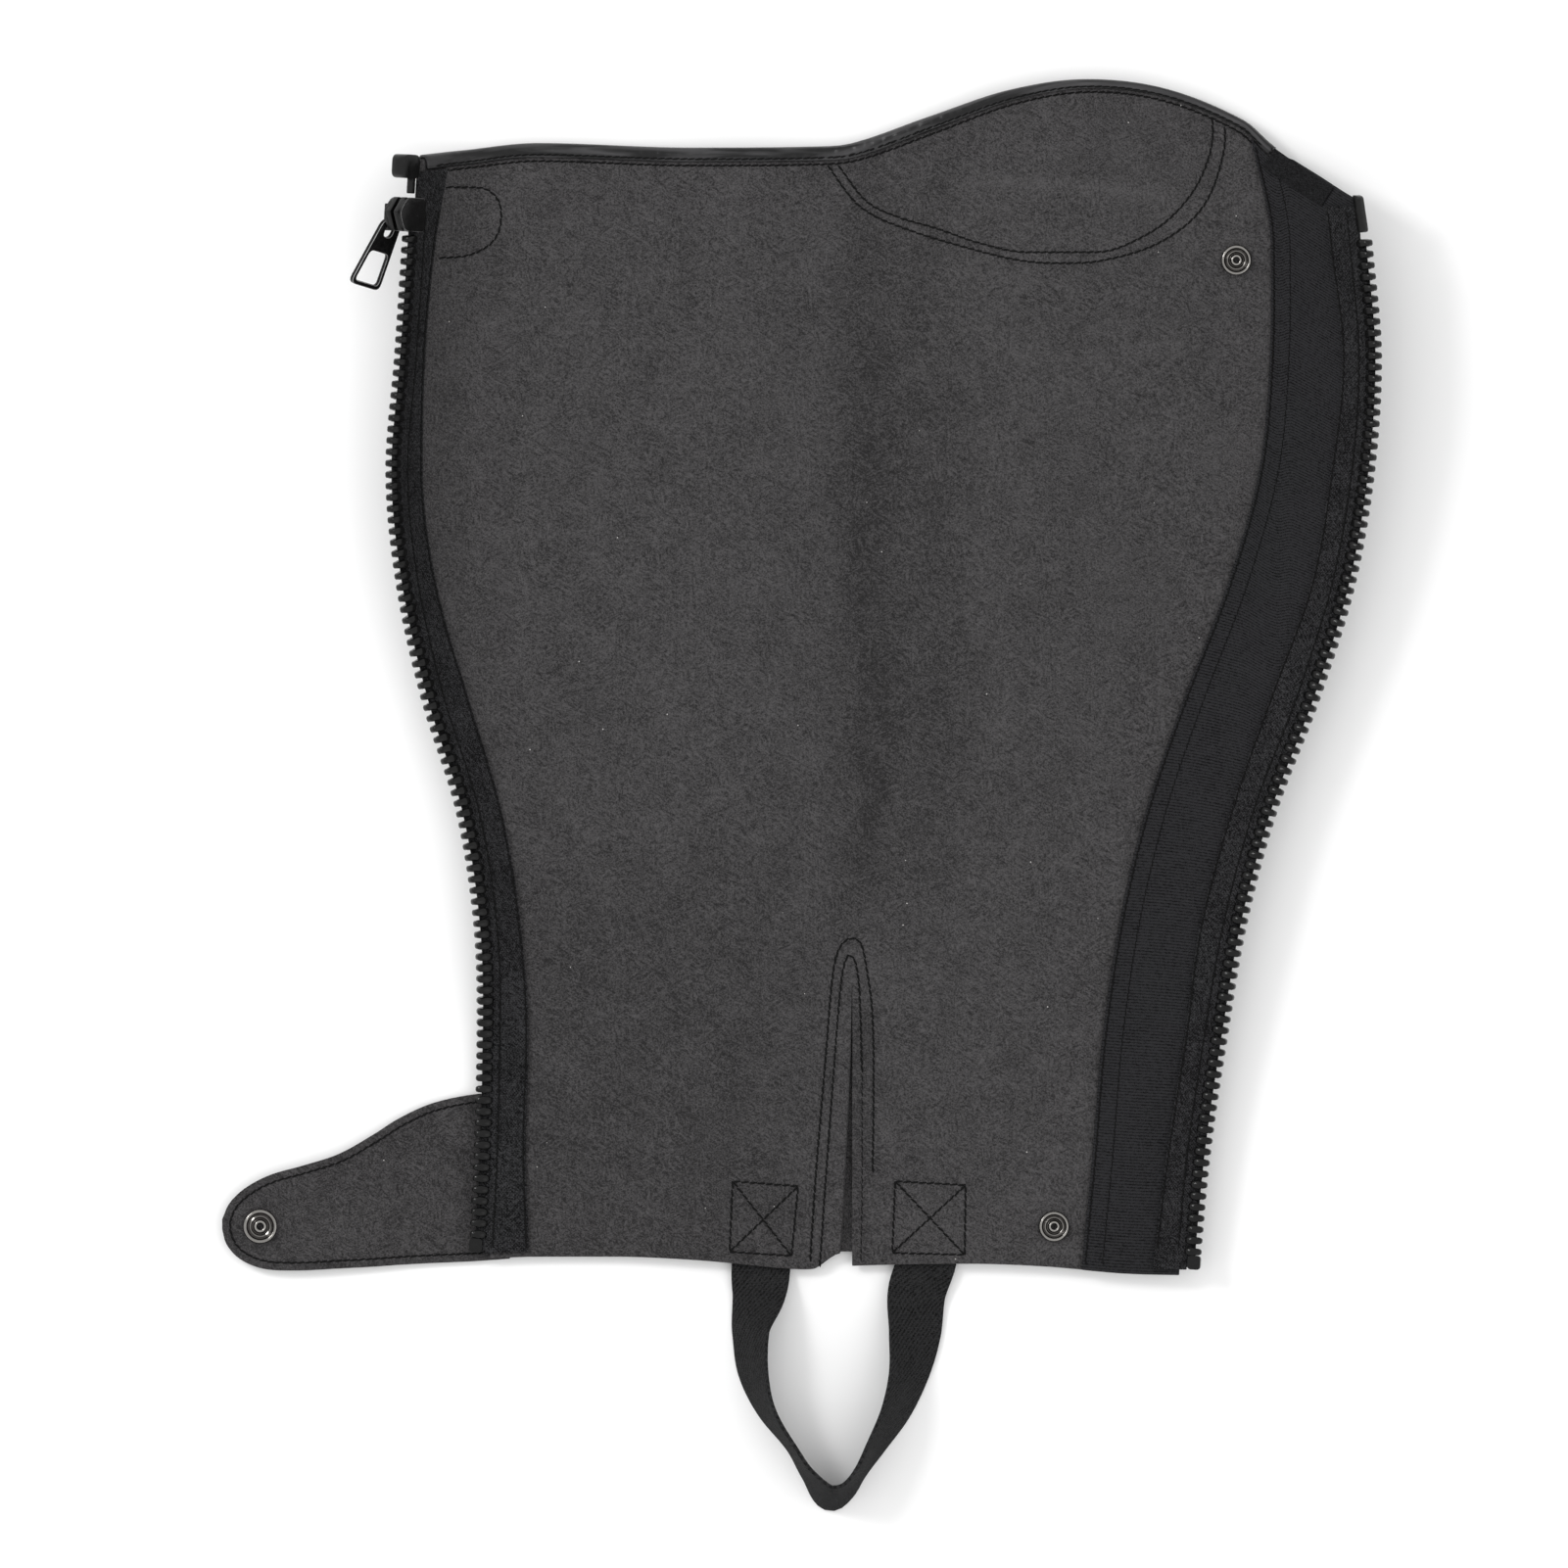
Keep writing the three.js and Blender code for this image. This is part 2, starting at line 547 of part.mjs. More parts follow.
// Zip teeth, fused to the cord along the edge of each tape
function teethRow(teeth, low, from, to) {
  const line = inFrom(teeth, TOOTH_REACH);
  const out = teeth === leftTeeth ? -1 : 1;
  const cord = rectangle(0.2 * out, CORD_REACH * out, -CORD_HALF, CORD_HALF);
  const tooth = rectangle(0, TOOTH_REACH * out, -TOOTH_HALF, TOOTH_HALF);
  const rings = [];
  const ring = (section, y) => {
    const frame = zipFrame(line, y, low + 0.5 * TAPE);
    rings.push(section.map((p) => new THREE.Vector3(p.x, 0, p.y).applyMatrix4(frame)));
  };
  let y = from;
  while (y < to) {
    const scale = zipStep(line, y, low);
    const end = y + TOOTH_LENGTH * scale;
    if (rings.length) ring(cord, y);
    ring(tooth, y);
    ring(tooth, end);
    y += TOOTH_PITCH * scale;
    if (y < to) ring(cord, end);
  }
  return loft(rings, tooth);
}

// Plan distance up the object for one millimetre along the zip.
function zipStep(line, y, off) {
  return 1 / lay(line(y + 0.5), y + 0.5, off).distanceTo(lay(line(y - 0.5), y - 0.5, off));
}

const SLIDER_AT = 0.8835 * LENGTH;
const LEFT_TEETH_FROM = 0.018 * LENGTH;
const RIGHT_TEETH_FROM = 0.004 * LENGTH;
const LEFT_TEETH_TO = SLIDER_AT + 0.3 * PLATE_LENGTH;
const RIGHT_TEETH_TO = 0.862 * LENGTH;
add(
  "zip_teeth_left",
  teethRow(leftTeeth, TAPE_LOW, LEFT_TEETH_FROM, LEFT_TEETH_TO),
  mouldedPlastic(),
);
add(
  "zip_teeth_right",
  teethRow(rightTeeth, RIGHT_TAPE_LOW, RIGHT_TEETH_FROM, RIGHT_TEETH_TO),
  mouldedPlastic(),
);

// Moulded ends of the zip
function zipBlock(teeth, low, from, to, half) {
  const line = inFrom(teeth, TOOTH_REACH);
  const out = teeth === leftTeeth ? -1 : 1;
  const middle = (from + to) / 2;
  const reach = (to - from) / 2;
  const [left, right] = out < 0 ? [-TOOTH_REACH, 0] : [0, TOOTH_REACH];
  const body = block(left, right, -reach, reach, -half, half);
  return [body, zipFrame(line, middle, low + 0.5 * TAPE)];
}

const leftStopTo = LEFT_TEETH_FROM - GAP;
const leftStop = zipBlock(leftTeeth, TAPE_LOW, leftStopTo - STOP_LENGTH, leftStopTo, STOP_HALF);
add("zip_stop_left", leftStop[0], mouldedPlastic(), leftStop[1]);
const rightStopTo = RIGHT_TEETH_FROM - GAP;
const rightStop = zipBlock(rightTeeth, RIGHT_TAPE_LOW, rightStopTo - STOP_LENGTH, rightStopTo, STOP_HALF);
add("zip_stop_right", rightStop[0], mouldedPlastic(), rightStop[1]);
const pinFrom = RIGHT_TEETH_TO + TOOTH_PITCH;
const pin = zipBlock(rightTeeth, RIGHT_TAPE_LOW, pinFrom, pinFrom + PIN_LENGTH, PIN_HALF);
add("zip_pin", pin[0], mouldedPlastic(), pin[1]);

// Box at the top of the left zip, with its fixed pin
const zipLine = inFrom(leftTeeth, TOOTH_REACH);
const pinFoot = 0.905 * LENGTH;
const boxFoot = 0.914 * LENGTH;
const boxPin = block(-BOX_PIN_WIDTH, 0, pinFoot - boxFoot, 0.5, -BOX_PIN_HALF, BOX_PIN_HALF);
const boxBody = block(-BOX_WIDTH, 0, 0, BOX_HEIGHT, -BOX_HALF, BOX_HALF);
add("zip_box", join(boxBody, boxPin), mouldedPlastic(), zipFrame(zipLine, boxFoot, TAPE_LOW + 0.5 * TAPE));

// Slider: two shield plates round the teeth, a post between them, and a bail on the outer plate
const plateLow = TOOTH_HALF + GAP;
const plateHigh = plateLow + PLATE_THICKNESS;
const plateLeft = PLATE_LAP - PLATE_WIDTH;
const shield = [
  [PLATE_LAP, -0.5 * PLATE_LENGTH], [PLATE_LAP, 0.5 * PLATE_LENGTH],
  [plateLeft + 0.286 * PLATE_WIDTH, 0.5 * PLATE_LENGTH],
  [plateLeft, 0.05 * PLATE_LENGTH], [plateLeft + 0.214 * PLATE_WIDTH, -0.5 * PLATE_LENGTH],
];
const postLeft = -TOOTH_REACH - GAP - WEDGE_WIDTH;
const bailMiddle = PLATE_LAP - 0.5 * PLATE_WIDTH;
const bailLow = -plateHigh - BAIL_TUNNEL - BAIL_BAR;
const bailFrom = -0.5 * PLATE_LENGTH;
const bailTo = 0.3 * PLATE_LENGTH;
const bailLeft = bailMiddle - 0.5 * BAIL_BAR;
const bailRight = bailMiddle + 0.5 * BAIL_BAR;
const sliderFrame = zipFrame(zipLine, SLIDER_AT, TAPE_LOW + 0.5 * TAPE);
add(
  "zip_slider",
  join(
    plate(shield, plateLow, PLATE_THICKNESS),
    plate(shield, -plateHigh, PLATE_THICKNESS),
    block(postLeft, -TOOTH_REACH - GAP, 0, 0.35 * PLATE_LENGTH, -plateLow - 0.2, plateLow + 0.2),
    block(bailLeft, bailRight, bailFrom, bailTo, bailLow, bailLow + BAIL_BAR),
    block(bailLeft, bailRight, bailFrom, bailFrom + BAIL_BAR, bailLow, -plateLow - 0.2),
    block(bailLeft, bailRight, bailTo - BAIL_BAR, bailTo, bailLow, -plateLow - 0.2),
  ),
  blackMetal(),
  sliderFrame,
);

// Pull: a tapered frame whose end bar hangs in the bail
const barCorner = 0.5 * Math.hypot(PULL_BAR, PULL_THICKNESS);
const pivot = new THREE.Vector3(
  bailMiddle,
  bailFrom + BAIL_BAR + GAP + barCorner,
  -plateHigh - 0.5 * BAIL_TUNNEL,
);
const EYE_WIDTH = 4.6;
const EYE_LENGTH = 4.8;
const WINDOW_TOP = 11.5;
const pullShape = new THREE.Shape(
  [
    [-0.5 * PULL_TOP, 0.5 * PULL_BAR], [-0.5 * PULL_FOOT, -PULL_LENGTH],
    [0.5 * PULL_FOOT, -PULL_LENGTH], [0.5 * PULL_TOP, 0.5 * PULL_BAR],
  ].map(([x, y]) => new THREE.Vector2(x, y)),
);
const eye = rectangle(-0.5 * EYE_WIDTH, 0.5 * EYE_WIDTH, -0.5 * PULL_BAR - EYE_LENGTH, -0.5 * PULL_BAR);
const windowTop = 0.5 * PULL_TOP + (0.5 * (PULL_FOOT - PULL_TOP) * WINDOW_TOP) / PULL_LENGTH - PULL_BAR;
const windowFoot = 0.5 * PULL_FOOT - 1.2 * PULL_BAR;
const pullWindow = [
  [-windowTop, -WINDOW_TOP], [windowTop, -WINDOW_TOP],
  [windowFoot, -PULL_LENGTH + PULL_BAR], [-windowFoot, -PULL_LENGTH + PULL_BAR],
].map(([x, y]) => new THREE.Vector2(x, y));
pullShape.holes.push(new THREE.Path(eye), new THREE.Path(pullWindow));
const pull = new THREE.ExtrudeGeometry(pullShape, { depth: PULL_THICKNESS, bevelEnabled: false });
pull.translate(0, 0, -0.5 * PULL_THICKNESS);
const pullFrame = sliderFrame
  .clone()
  .multiply(new THREE.Matrix4().makeTranslation(pivot))
  .multiply(new THREE.Matrix4().makeRotationX(THREE.MathUtils.degToRad(PULL_SWING)))
  .multiply(new THREE.Matrix4().makeRotationZ(THREE.MathUtils.degToRad(-PULL_YAW)));
add("zip_pull", pull, blackMetal(), pullFrame);

// Ankle flap, and the snap in its tip. Shares of FLAP_REACH out from the root, and of FLAP_HEIGHT up.
const FLAP_UPPER = [
  [1.0, 0.22], [0.975, 0.31], [0.92, 0.395], [0.835, 0.467], [0.72, 0.52],
  [0.595, 0.585], [0.468, 0.7], [0.39, 0.78], [0.275, 0.865], [0.135, 0.915], [0.0, 0.93],
];
const FLAP_LOWER = [
  [1.0, 0.165], [0.985, 0.08], [0.94, 0.0], [0.86, -0.055], [0.745, -0.066],
  [0.595, -0.055], [0.468, -0.044], [0.39, -0.035], [0.275, -0.025], [0.135, -0.015], [0.0, 0.0],
];
const flapPoint = ([out, up]) => [flapRoot - out * FLAP_REACH, up * FLAP_HEIGHT];
add(
  "ankle_flap",
  cut(
    sheet(ruled(FLAP_LOWER.map(flapPoint), FLAP_UPPER.map(flapPoint)), 12, 5, FLAP_LOW, LEATHER),
    snapHole(FLAP_SNAP),
  ),
  lining(),
);
add("flap_snap", capSnap(FLAP_LOW - GAP, GAP - LAP_GAP), gunmetal(), snapFrame(FLAP_SNAP));
add("stud_lower", studSnap(-GAP, LEATHER + GAP), gunmetal(), snapFrame(LOWER_STUD));
add("stud_upper", studSnap(-GAP, LEATHER + GAP), gunmetal(), snapFrame(UPPER_STUD));

// Foot strap: a webbing loop whose ends lie under the hem and whose middle stands on its edge.
// Shares of STRAP_SPREAD to the side and of STRAP_DROP down; turn is in degrees from flat.
const STRAP = [
  { side: -0.5, down: -0.33, turn: 0 },
  { side: -0.51, down: -0.1, turn: 3 },
  { side: -0.515, down: 0.0, turn: 8 },
  { side: -0.53, down: 0.145, turn: 37 },
  { side: -0.58, down: 0.31, turn: 54 },
  { side: -0.565, down: 0.48, turn: 62 },
  { side: -0.485, down: 0.645, turn: 74 },
  { side: -0.325, down: 0.81, turn: 82 },
  { side: -0.215, down: 0.92, turn: 70 },
  { side: -0.11, down: 0.995, turn: 54 },
  { side: 0.0, down: 0.95, turn: 62 },
  { side: 0.075, down: 0.88, turn: 78 },
  { side: 0.175, down: 0.81, turn: 74 },
  { side: 0.3, down: 0.645, turn: 62 },
  { side: 0.38, down: 0.48, turn: 49 },
  { side: 0.415, down: 0.31, turn: 30 },
  { side: 0.425, down: 0.145, turn: 17 },
  { side: 0.49, down: 0.0, turn: 5 },
  { side: 0.5, down: -0.1, turn: 2 },
  { side: 0.51, down: -0.33, turn: 0 },
];
const STRAP_STEPS = 46;
const strapLine = new THREE.CatmullRomCurve3(
  STRAP.map((p) => new THREE.Vector3(STRAP_MIDDLE + p.side * STRAP_SPREAD, -p.down * STRAP_DROP, 0)),
  false,
  "centripetal",
);
const strapTurns = new THREE.CatmullRomCurve3(STRAP.map((p, i) => new THREE.Vector3(i, p.turn, 0)));
const strapSection = rectangle(
  -0.5 * STRAP_WIDTH, 0.5 * STRAP_WIDTH, -0.5 * STRAP_THICKNESS, 0.5 * STRAP_THICKNESS,
);
const strapUnder = -LAP_GAP - 0.5 * STRAP_THICKNESS;
const strapRings = [];
for (let i = 0; i <= STRAP_STEPS; i += 1) {
  const t = i / STRAP_STEPS;
  const place = strapLine.getPoint(t);
  const heading = strapLine.getTangent(t);
  const turn = THREE.MathUtils.degToRad(Math.max(0, strapTurns.getPoint(t).y));
  const inside = new THREE.Vector3(-heading.y, heading.x, 0).normalize();
  const width = inside.clone().multiplyScalar(Math.cos(turn)).setZ(Math.sin(turn));
  const face = new THREE.Vector3().crossVectors(heading, width);
  const onFloor = 0.5 * STRAP_WIDTH * Math.sin(turn) + 0.5 * STRAP_THICKNESS * Math.cos(turn);
  const free = THREE.MathUtils.smoothstep(-place.y, 0, 0.3 * STRAP_DROP);
  strapRings.push(
    strapSection.map((p) => {
      const sewn = place.clone().addScaledVector(inside, p.x);
      const under = lay(sewn.x, sewn.y, strapUnder + p.y);
      const loose = place.clone().addScaledVector(width, p.x).addScaledVector(face, p.y);
      return under.lerp(loose.setZ(loose.z + onFloor), free);
    }),
  );
}
add("foot_strap", loft(strapRings, strapSection), webbing());

// The origin goes under the middle of the outline, on the floor.
const group = new THREE.Group();
group.add(chap);
group.updateMatrixWorld(true);
const bounds = new THREE.Box3().setFromObject(chap, true);
chap.position.set(-(bounds.min.x + bounds.max.x) / 2, -(bounds.min.y + bounds.max.y) / 2, -bounds.min.z);

export default group;
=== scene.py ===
import math

import bmesh
import bpy
import numpy as np
from mathutils import Matrix, Vector


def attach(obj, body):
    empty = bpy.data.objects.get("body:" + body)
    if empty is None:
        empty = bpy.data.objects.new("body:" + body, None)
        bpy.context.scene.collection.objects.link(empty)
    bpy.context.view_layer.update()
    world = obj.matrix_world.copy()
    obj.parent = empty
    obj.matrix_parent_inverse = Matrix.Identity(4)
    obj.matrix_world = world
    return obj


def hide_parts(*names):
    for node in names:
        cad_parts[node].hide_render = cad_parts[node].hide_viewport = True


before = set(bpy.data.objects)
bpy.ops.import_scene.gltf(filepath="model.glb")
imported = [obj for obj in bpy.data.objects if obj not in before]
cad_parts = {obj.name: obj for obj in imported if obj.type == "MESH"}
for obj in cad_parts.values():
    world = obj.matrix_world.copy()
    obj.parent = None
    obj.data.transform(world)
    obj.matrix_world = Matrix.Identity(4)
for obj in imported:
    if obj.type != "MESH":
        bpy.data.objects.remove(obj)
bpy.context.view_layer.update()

# The opened half chap
# One panel with half of a zip along each side, opened out with its inside up. It lies in its own
# soft set: the zip edges curl up off the floor and a crease with painted shade runs down the
# middle.
LENGTH = 0.4215  # hem to the top of the arch
WIDTH = 0.36  # zip to zip across the calf
SLIT_LINE = 0.017883  # where the slit's line lies in the frame
HEM_LINE = -0.166332
EDGE_LIFT = 0.024
LEFT_CURL = 0.036
RIGHT_CURL = 0.045
CURL_END = 1.05  # how far past the tips of the teeth the curl goes on
VALLEY_DEPTH = 0.006
VALLEY_HALF = 0.04
SETTLE_LEFT = 0.9  # how much of the rise beside the crease is lost again further out
SETTLE_RIGHT = 0.15
REST_LIFT = 0.0023
TIP_LIFT = 0.0022
SWELL = 0.0004  # slow unevenness of the leather
LEATHER = 0.0018
LAP_GAP = 0.0004
FLAP_REACH = 0.103

# Upright edges: share of LENGTH up, then shares of WIDTH to the side.
LEFT, LEFT_SEAM, RIGHT_SEAM, GUSSET, RIGHT = 1, 2, 3, 4, 5
EDGES = [
    (-0.03, -0.381, -0.321, 0.227, 0.296, 0.345),
    (0.0, -0.3805, -0.321, 0.2285, 0.3, 0.347),
    (0.095, -0.375, -0.324, 0.239, 0.314, 0.358),
    (0.19, -0.373, -0.321, 0.2485, 0.332, 0.375),
    (0.286, -0.378, -0.329, 0.265, 0.3485, 0.395),
    (0.381, -0.396, -0.348, 0.2915, 0.379, 0.4255),
    (0.476, -0.4305, -0.381, 0.3295, 0.418, 0.468),
    (0.571, -0.455, -0.412, 0.372, 0.4595, 0.503),
    (0.667, -0.4655, -0.4255, 0.4035, 0.4805, 0.523),
    (0.762, -0.457, -0.423, 0.415, 0.4925, 0.53),
    (0.857, -0.4495, -0.413, 0.4165, 0.4805, 0.521),
    (0.95, -0.443, -0.395, 0.396, 0.468, 0.511),
]

# Top and bottom outlines: share of WIDTH to the side, then share of LENGTH up.
TOP = [
    (-0.46, 0.93), (-0.428, 0.935), (-0.389, 0.9395), (-0.311, 0.946), (-0.156, 0.942),
    (-0.039, 0.943), (0.0, 0.946), (0.078, 0.969), (0.156, 0.991), (0.233, 1.0),
    (0.311, 0.992), (0.389, 0.965), (0.421, 0.942), (0.467, 0.917), (0.506, 0.896), (0.54, 0.885),
]
HEM = [
    (-0.4, -0.0017), (-0.311, 0.0017), (-0.233, 0.0017), (-0.156, -0.001), (-0.04, -0.009),
    (0.0, -0.006), (0.117, -0.0043), (0.194, -0.0066), (0.272, -0.0126), (0.36, -0.014),
]

# The lie: share of LENGTH up, then shares of REST_LIFT, EDGE_LIFT (left, right), VALLEY_DEPTH
# and WIDTH (where the crease runs).
LIE = [
    (-0.05, 1.0, 0.0, 0.1, 0.28, 0.0),
    (0.0, 1.0, 0.0, 0.1, 0.28, 0.0),
    (0.15, 1.0, 0.0, 0.22, 0.3, 0.0),
    (0.27, 1.0, 0.38, 0.35, 0.55, 0.005),
    (0.36, 0.2, 0.5, 0.4, 1.0, 0.028),
    (0.5, 0.0, 0.64, 0.5, 1.0, 0.033),
    (0.6, 0.0, 0.9, 0.68, 1.0, 0.033),
    (0.7, 0.0, 1.0, 0.88, 1.0, 0.033),
    (0.78, 0.0, 1.0, 1.0, 0.9, 0.033),
    (0.87, 0.85, 1.0, 1.0, 0.7, 0.033),
    (1.0, 0.85, 1.0, 1.0, 0.6, 0.033),
]


def smooth_column(table, place):
    """A smooth curve through one column of a table, level where the column turns back."""
    table = np.array(table, float)
    marks = table[:, 0]
    values = table[:, place]
    before = np.maximum(np.arange(len(marks)) - 1, 0)
    after = np.minimum(np.arange(len(marks)) + 1, len(marks) - 1)
    slopes = (values[after] - values[before]) / (marks[after] - marks[before])
    turning = (values - values[before]) * (values[after] - values) <= 0
    turning[[0, -1]] = False
    slopes[turning] = 0

    def curve(share):
        i = np.searchsorted(marks[1:-1], share)
        span = marks[i + 1] - marks[i]
        t = np.clip((share - marks[i]) / span, 0, 1)
        return (
            (2 * t**3 - 3 * t**2 + 1) * values[i]
            + (t**3 - 2 * t**2 + t) * slopes[i] * span
            + (3 * t**2 - 2 * t**3) * values[i + 1]
            + (t**3 - t**2) * slopes[i + 1] * span
        )

    return curve


def upright_edge(place):
    share = smooth_column(EDGES, place)
    return lambda y: WIDTH * share(y / LENGTH)


left_teeth = upright_edge(LEFT)
left_seam = upright_edge(LEFT_SEAM)
right_seam = upright_edge(RIGHT_SEAM)
gusset_edge = upright_edge(GUSSET)
right_teeth = upright_edge(RIGHT)
top_share = smooth_column(TOP, 1)
hem_share = smooth_column(HEM, 1)
rest, left_curl, right_curl, valley, crease = [smooth_column(LIE, i) for i in range(1, 6)]


def top_edge(x):
    return LENGTH * top_share(x / WIDTH)


def hem_edge(x):
    return LENGTH * hem_share(x / WIDTH)


def top_slope(x):
    return (top_edge(x + 0.001) - top_edge(x - 0.001)) / 0.002


def below_top(x, distance):
    """How far down from the top edge a place lies that is the given distance in from it."""
    return distance * np.hypot(1, top_slope(x))


def ease(low, high, value):
    t = np.clip((value - low) / (high - low), 0, 1)
    return t * t * (3 - 2 * t)


def height(x, y):
    """Height of the panel's outer face over the floor."""
    up = y / LENGTH
    left = np.clip(1 - (x - left_teeth(y)) / LEFT_CURL, 0, CURL_END)
    right = np.clip(1 - (right_teeth(y) - x) / RIGHT_CURL, 0, CURL_END)
    off = x - WIDTH * crease(up)
    flank = 1 - np.exp(-((off / VALLEY_HALF) ** 2))
    settle = ease(VALLEY_HALF, 2.4 * VALLEY_HALF, np.abs(off))
    kept = np.where(off < 0, 1 - SETTLE_LEFT * settle, 1 - SETTLE_RIGHT * settle)
    beyond = ease(0, 0.6 * FLAP_REACH, left_teeth(y) - x)
    swell = (1 + np.sin(x * 95 + 1.3) * np.sin(y * 71 + 0.4)) * (1 - beyond)
    return (
        REST_LIFT * rest(up)
        + EDGE_LIFT * left_curl(up) * left**2
        + EDGE_LIFT * right_curl(up) * right**2
        + VALLEY_DEPTH * valley(up) * flank * kept
        + TIP_LIFT * beyond
        + 0.5 * SWELL * swell
    )


def normal_at(x, y):
    step = 0.0005
    slope_x = (height(x + step, y) - height(x - step, y)) / (2 * step)
    slope_y = (height(x, y + step) - height(x, y - step)) / (2 * step)
    up = np.stack([-slope_x, -slope_y, np.ones_like(slope_x)], axis=-1)
    return up / np.linalg.norm(up, axis=-1, keepdims=True)


def lay(x, y, off):
    """A place of the laid sheet in the frame, the given height off the panel's outer face."""
    x, y, off = np.broadcast_arrays(np.asarray(x, float), y, off)
    on_face = np.stack([x + SLIT_LINE, y + HEM_LINE, height(x, y)], axis=-1)
    return on_face + normal_at(x, y) * off[..., None]


def in_from(teeth, distance):
    """A line some way in from the tips of the teeth, measured over the curled sheet."""
    side = 1 if teeth is left_teeth else -1

    def line(y):
        x = teeth(y)
        return x + side * distance * normal_at(x + side * distance, np.asarray(y, float))[..., 2]

    return line


def upright(from_edge, to_edge, hem_margin, top_margin):
    """A patch between two upright edges, from the hem to the top, kept in from both by a margin."""

    def patch(u, v):
        y = v * LENGTH
        for _ in range(8):
            x = from_edge(y) + (to_edge(y) - from_edge(y)) * u
            low = hem_edge(x) + hem_margin
            y = low + (top_edge(x) - top_margin(x) - low) * v
        return x, y

    return patch


def mesh_of(name, bm):
    mesh = bpy.data.meshes.new(name)
    bm.to_mesh(mesh)
    bm.free()
    return mesh


def finished(name, bm, materials, nodes=(), body="chap", place=None):
    """A mesh made into a piece of the object, riding on its body in place of its plain solids."""
    if place is not None:
        bmesh.ops.transform(bm, matrix=place, verts=bm.verts)
    for face in bm.faces:
        face.smooth = True
    mesh = mesh_of(name, bm)
    for finish in materials:
        mesh.materials.append(finish)
    piece = bpy.data.objects.new(name, mesh)
    bpy.context.scene.collection.objects.link(piece)
    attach(piece, body)
    if nodes:
        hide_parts(*nodes)
    return piece


def wall(piece, thickness, side=-1.0, back=0, rim=0, edge=0.0003):
    """Give a sheet its thickness, with softened cut edges."""
    solid = piece.modifiers.new("Thickness", "SOLIDIFY")
    solid.thickness = thickness
    solid.offset = side
    solid.material_offset = back
    solid.material_offset_rim = rim
    if edge:
        soft = piece.modifiers.new("Soft edge", "BEVEL")
        soft.width = edge
        soft.segments = 2
        soft.limit_method = "ANGLE"
        soft.angle_limit = math.radians(55)
    return piece


def grid(columns, rows):
    """A grid to be shaped, with how far along it and up it each vertex lies, from 0 to 1."""
    bm = bmesh.new()
    bmesh.ops.create_grid(bm, x_segments=columns, y_segments=rows, size=1)
    along, up = np.array([((vert.co.x + 1) / 2, (vert.co.y + 1) / 2) for vert in bm.verts]).T
    return bm, along, up


def set_uv(bm, u, v):
    """Give each corner its place on the sheet as cut, which weave and grain follow."""
    uv = bm.loops.layers.uv.verify()
    for face in bm.faces:
        for loop in face.loops:
            i = loop.vert.index
            loop[uv].uv = (u[i], v[i])


def laid_mesh(patch, columns, rows, top, flat):
    """The upper face of a sheet cut to a patch of the plan, with its weave's own coordinates."""
    bm, u, v = grid(columns, rows)
    for vert, place in zip(bm.verts, lay(*patch(u, v), top)):
        vert.co = place
    set_uv(bm, u * flat[0], v * flat[1])
    return bm


def node(tree, kind, inputs=(), **settings):
    """A shader node with its settings and its inputs, each a value or another node's output."""
    made = tree.nodes.new(kind)
    for name, value in settings.items():
        setattr(made, name, value)
    for name, value in dict(inputs).items():
        if isinstance(value, bpy.types.NodeSocket):
            tree.links.new(value, made.inputs[name])
        else:
            made.inputs[name].default_value = value
    return made


def maths(tree, operation, first, second=0.0):
    return node(tree, "ShaderNodeMath", {0: first, 1: second}, operation=operation).outputs[0]


def grey(value):
    return value, value, value


def between(tree, share, low, high):
    """A colour part of the way from one to another, each a colour or another node's output."""
    low, high = [end if isinstance(end, bpy.types.NodeSocket) else (*end, 1) for end in (low, high)]
    return node(tree, "ShaderNodeMix", {0: share, 6: low, 7: high}, data_type="RGBA").outputs[2]


def ranged(tree, value, low, high, start=0.0, stop=1.0):
    spread = {"Value": value, "From Min": start, "From Max": stop, "To Min": low, "To Max": high}
    return node(tree, "ShaderNodeMapRange", spread).outputs[0]


def noise(tree, place, scale, detail, roughness=0.6, distortion=0.0):
    inputs = {"Vector": place, "Scale": scale, "Detail": detail, "Roughness": roughness}
    return node(tree, "ShaderNodeTexNoise", {**inputs, "Distortion": distortion}).outputs[0]


def placed(tree, kind="Object"):
    return node(tree, "ShaderNodeTexCoord").outputs[kind]


def finish_of(name, roughness, specular=0.5, metallic=0.0):
    """A new material, its node tree, and its shader."""
    made = bpy.data.materials.new(name)
    made.use_nodes = True
    shader = made.node_tree.nodes["Principled BSDF"]
    shader.inputs["Roughness"].default_value = roughness
    shader.inputs["Specular IOR Level"].default_value = specular
    shader.inputs["Metallic"].default_value = metallic
    return made, made.node_tree, shader


def group_of(name, inputs, outputs):
    """A new shader group with named sockets, its input node and its output node."""
    group = bpy.data.node_groups.new(name, "ShaderNodeTree")
    for socket, kind in inputs.items():
        group.interface.new_socket(socket, in_out="INPUT", socket_type=f"NodeSocket{kind}")
    for socket in outputs:
        group.interface.new_socket(socket, in_out="OUTPUT", socket_type="NodeSocketFloat")
    return group, group.nodes.new("NodeGroupInput"), group.nodes.new("NodeGroupOutput")


def dress(tree, shader, colour, relief, depth, strength, roughness=None):
    """Give a shader its colour, its relief and, where it varies, its roughness."""
    bump = {"Strength": strength, "Distance": depth, "Height": relief}
    tree.links.new(node(tree, "ShaderNodeBump", bump).outputs[0], shader.inputs["Normal"])
    tree.links.new(colour, shader.inputs["Base Color"])
    if roughness:
        tree.links.new(roughness, shader.inputs["Roughness"])


# Fibre nap: short matted fibres lying in patches, on the lining and, finer, on the woven cloths.
nap, nap_in, nap_out = group_of(
    "fibre_nap", {"Vector": "Vector", "Fineness": "Float"}, ("Shade", "Height", "Cloud")
)


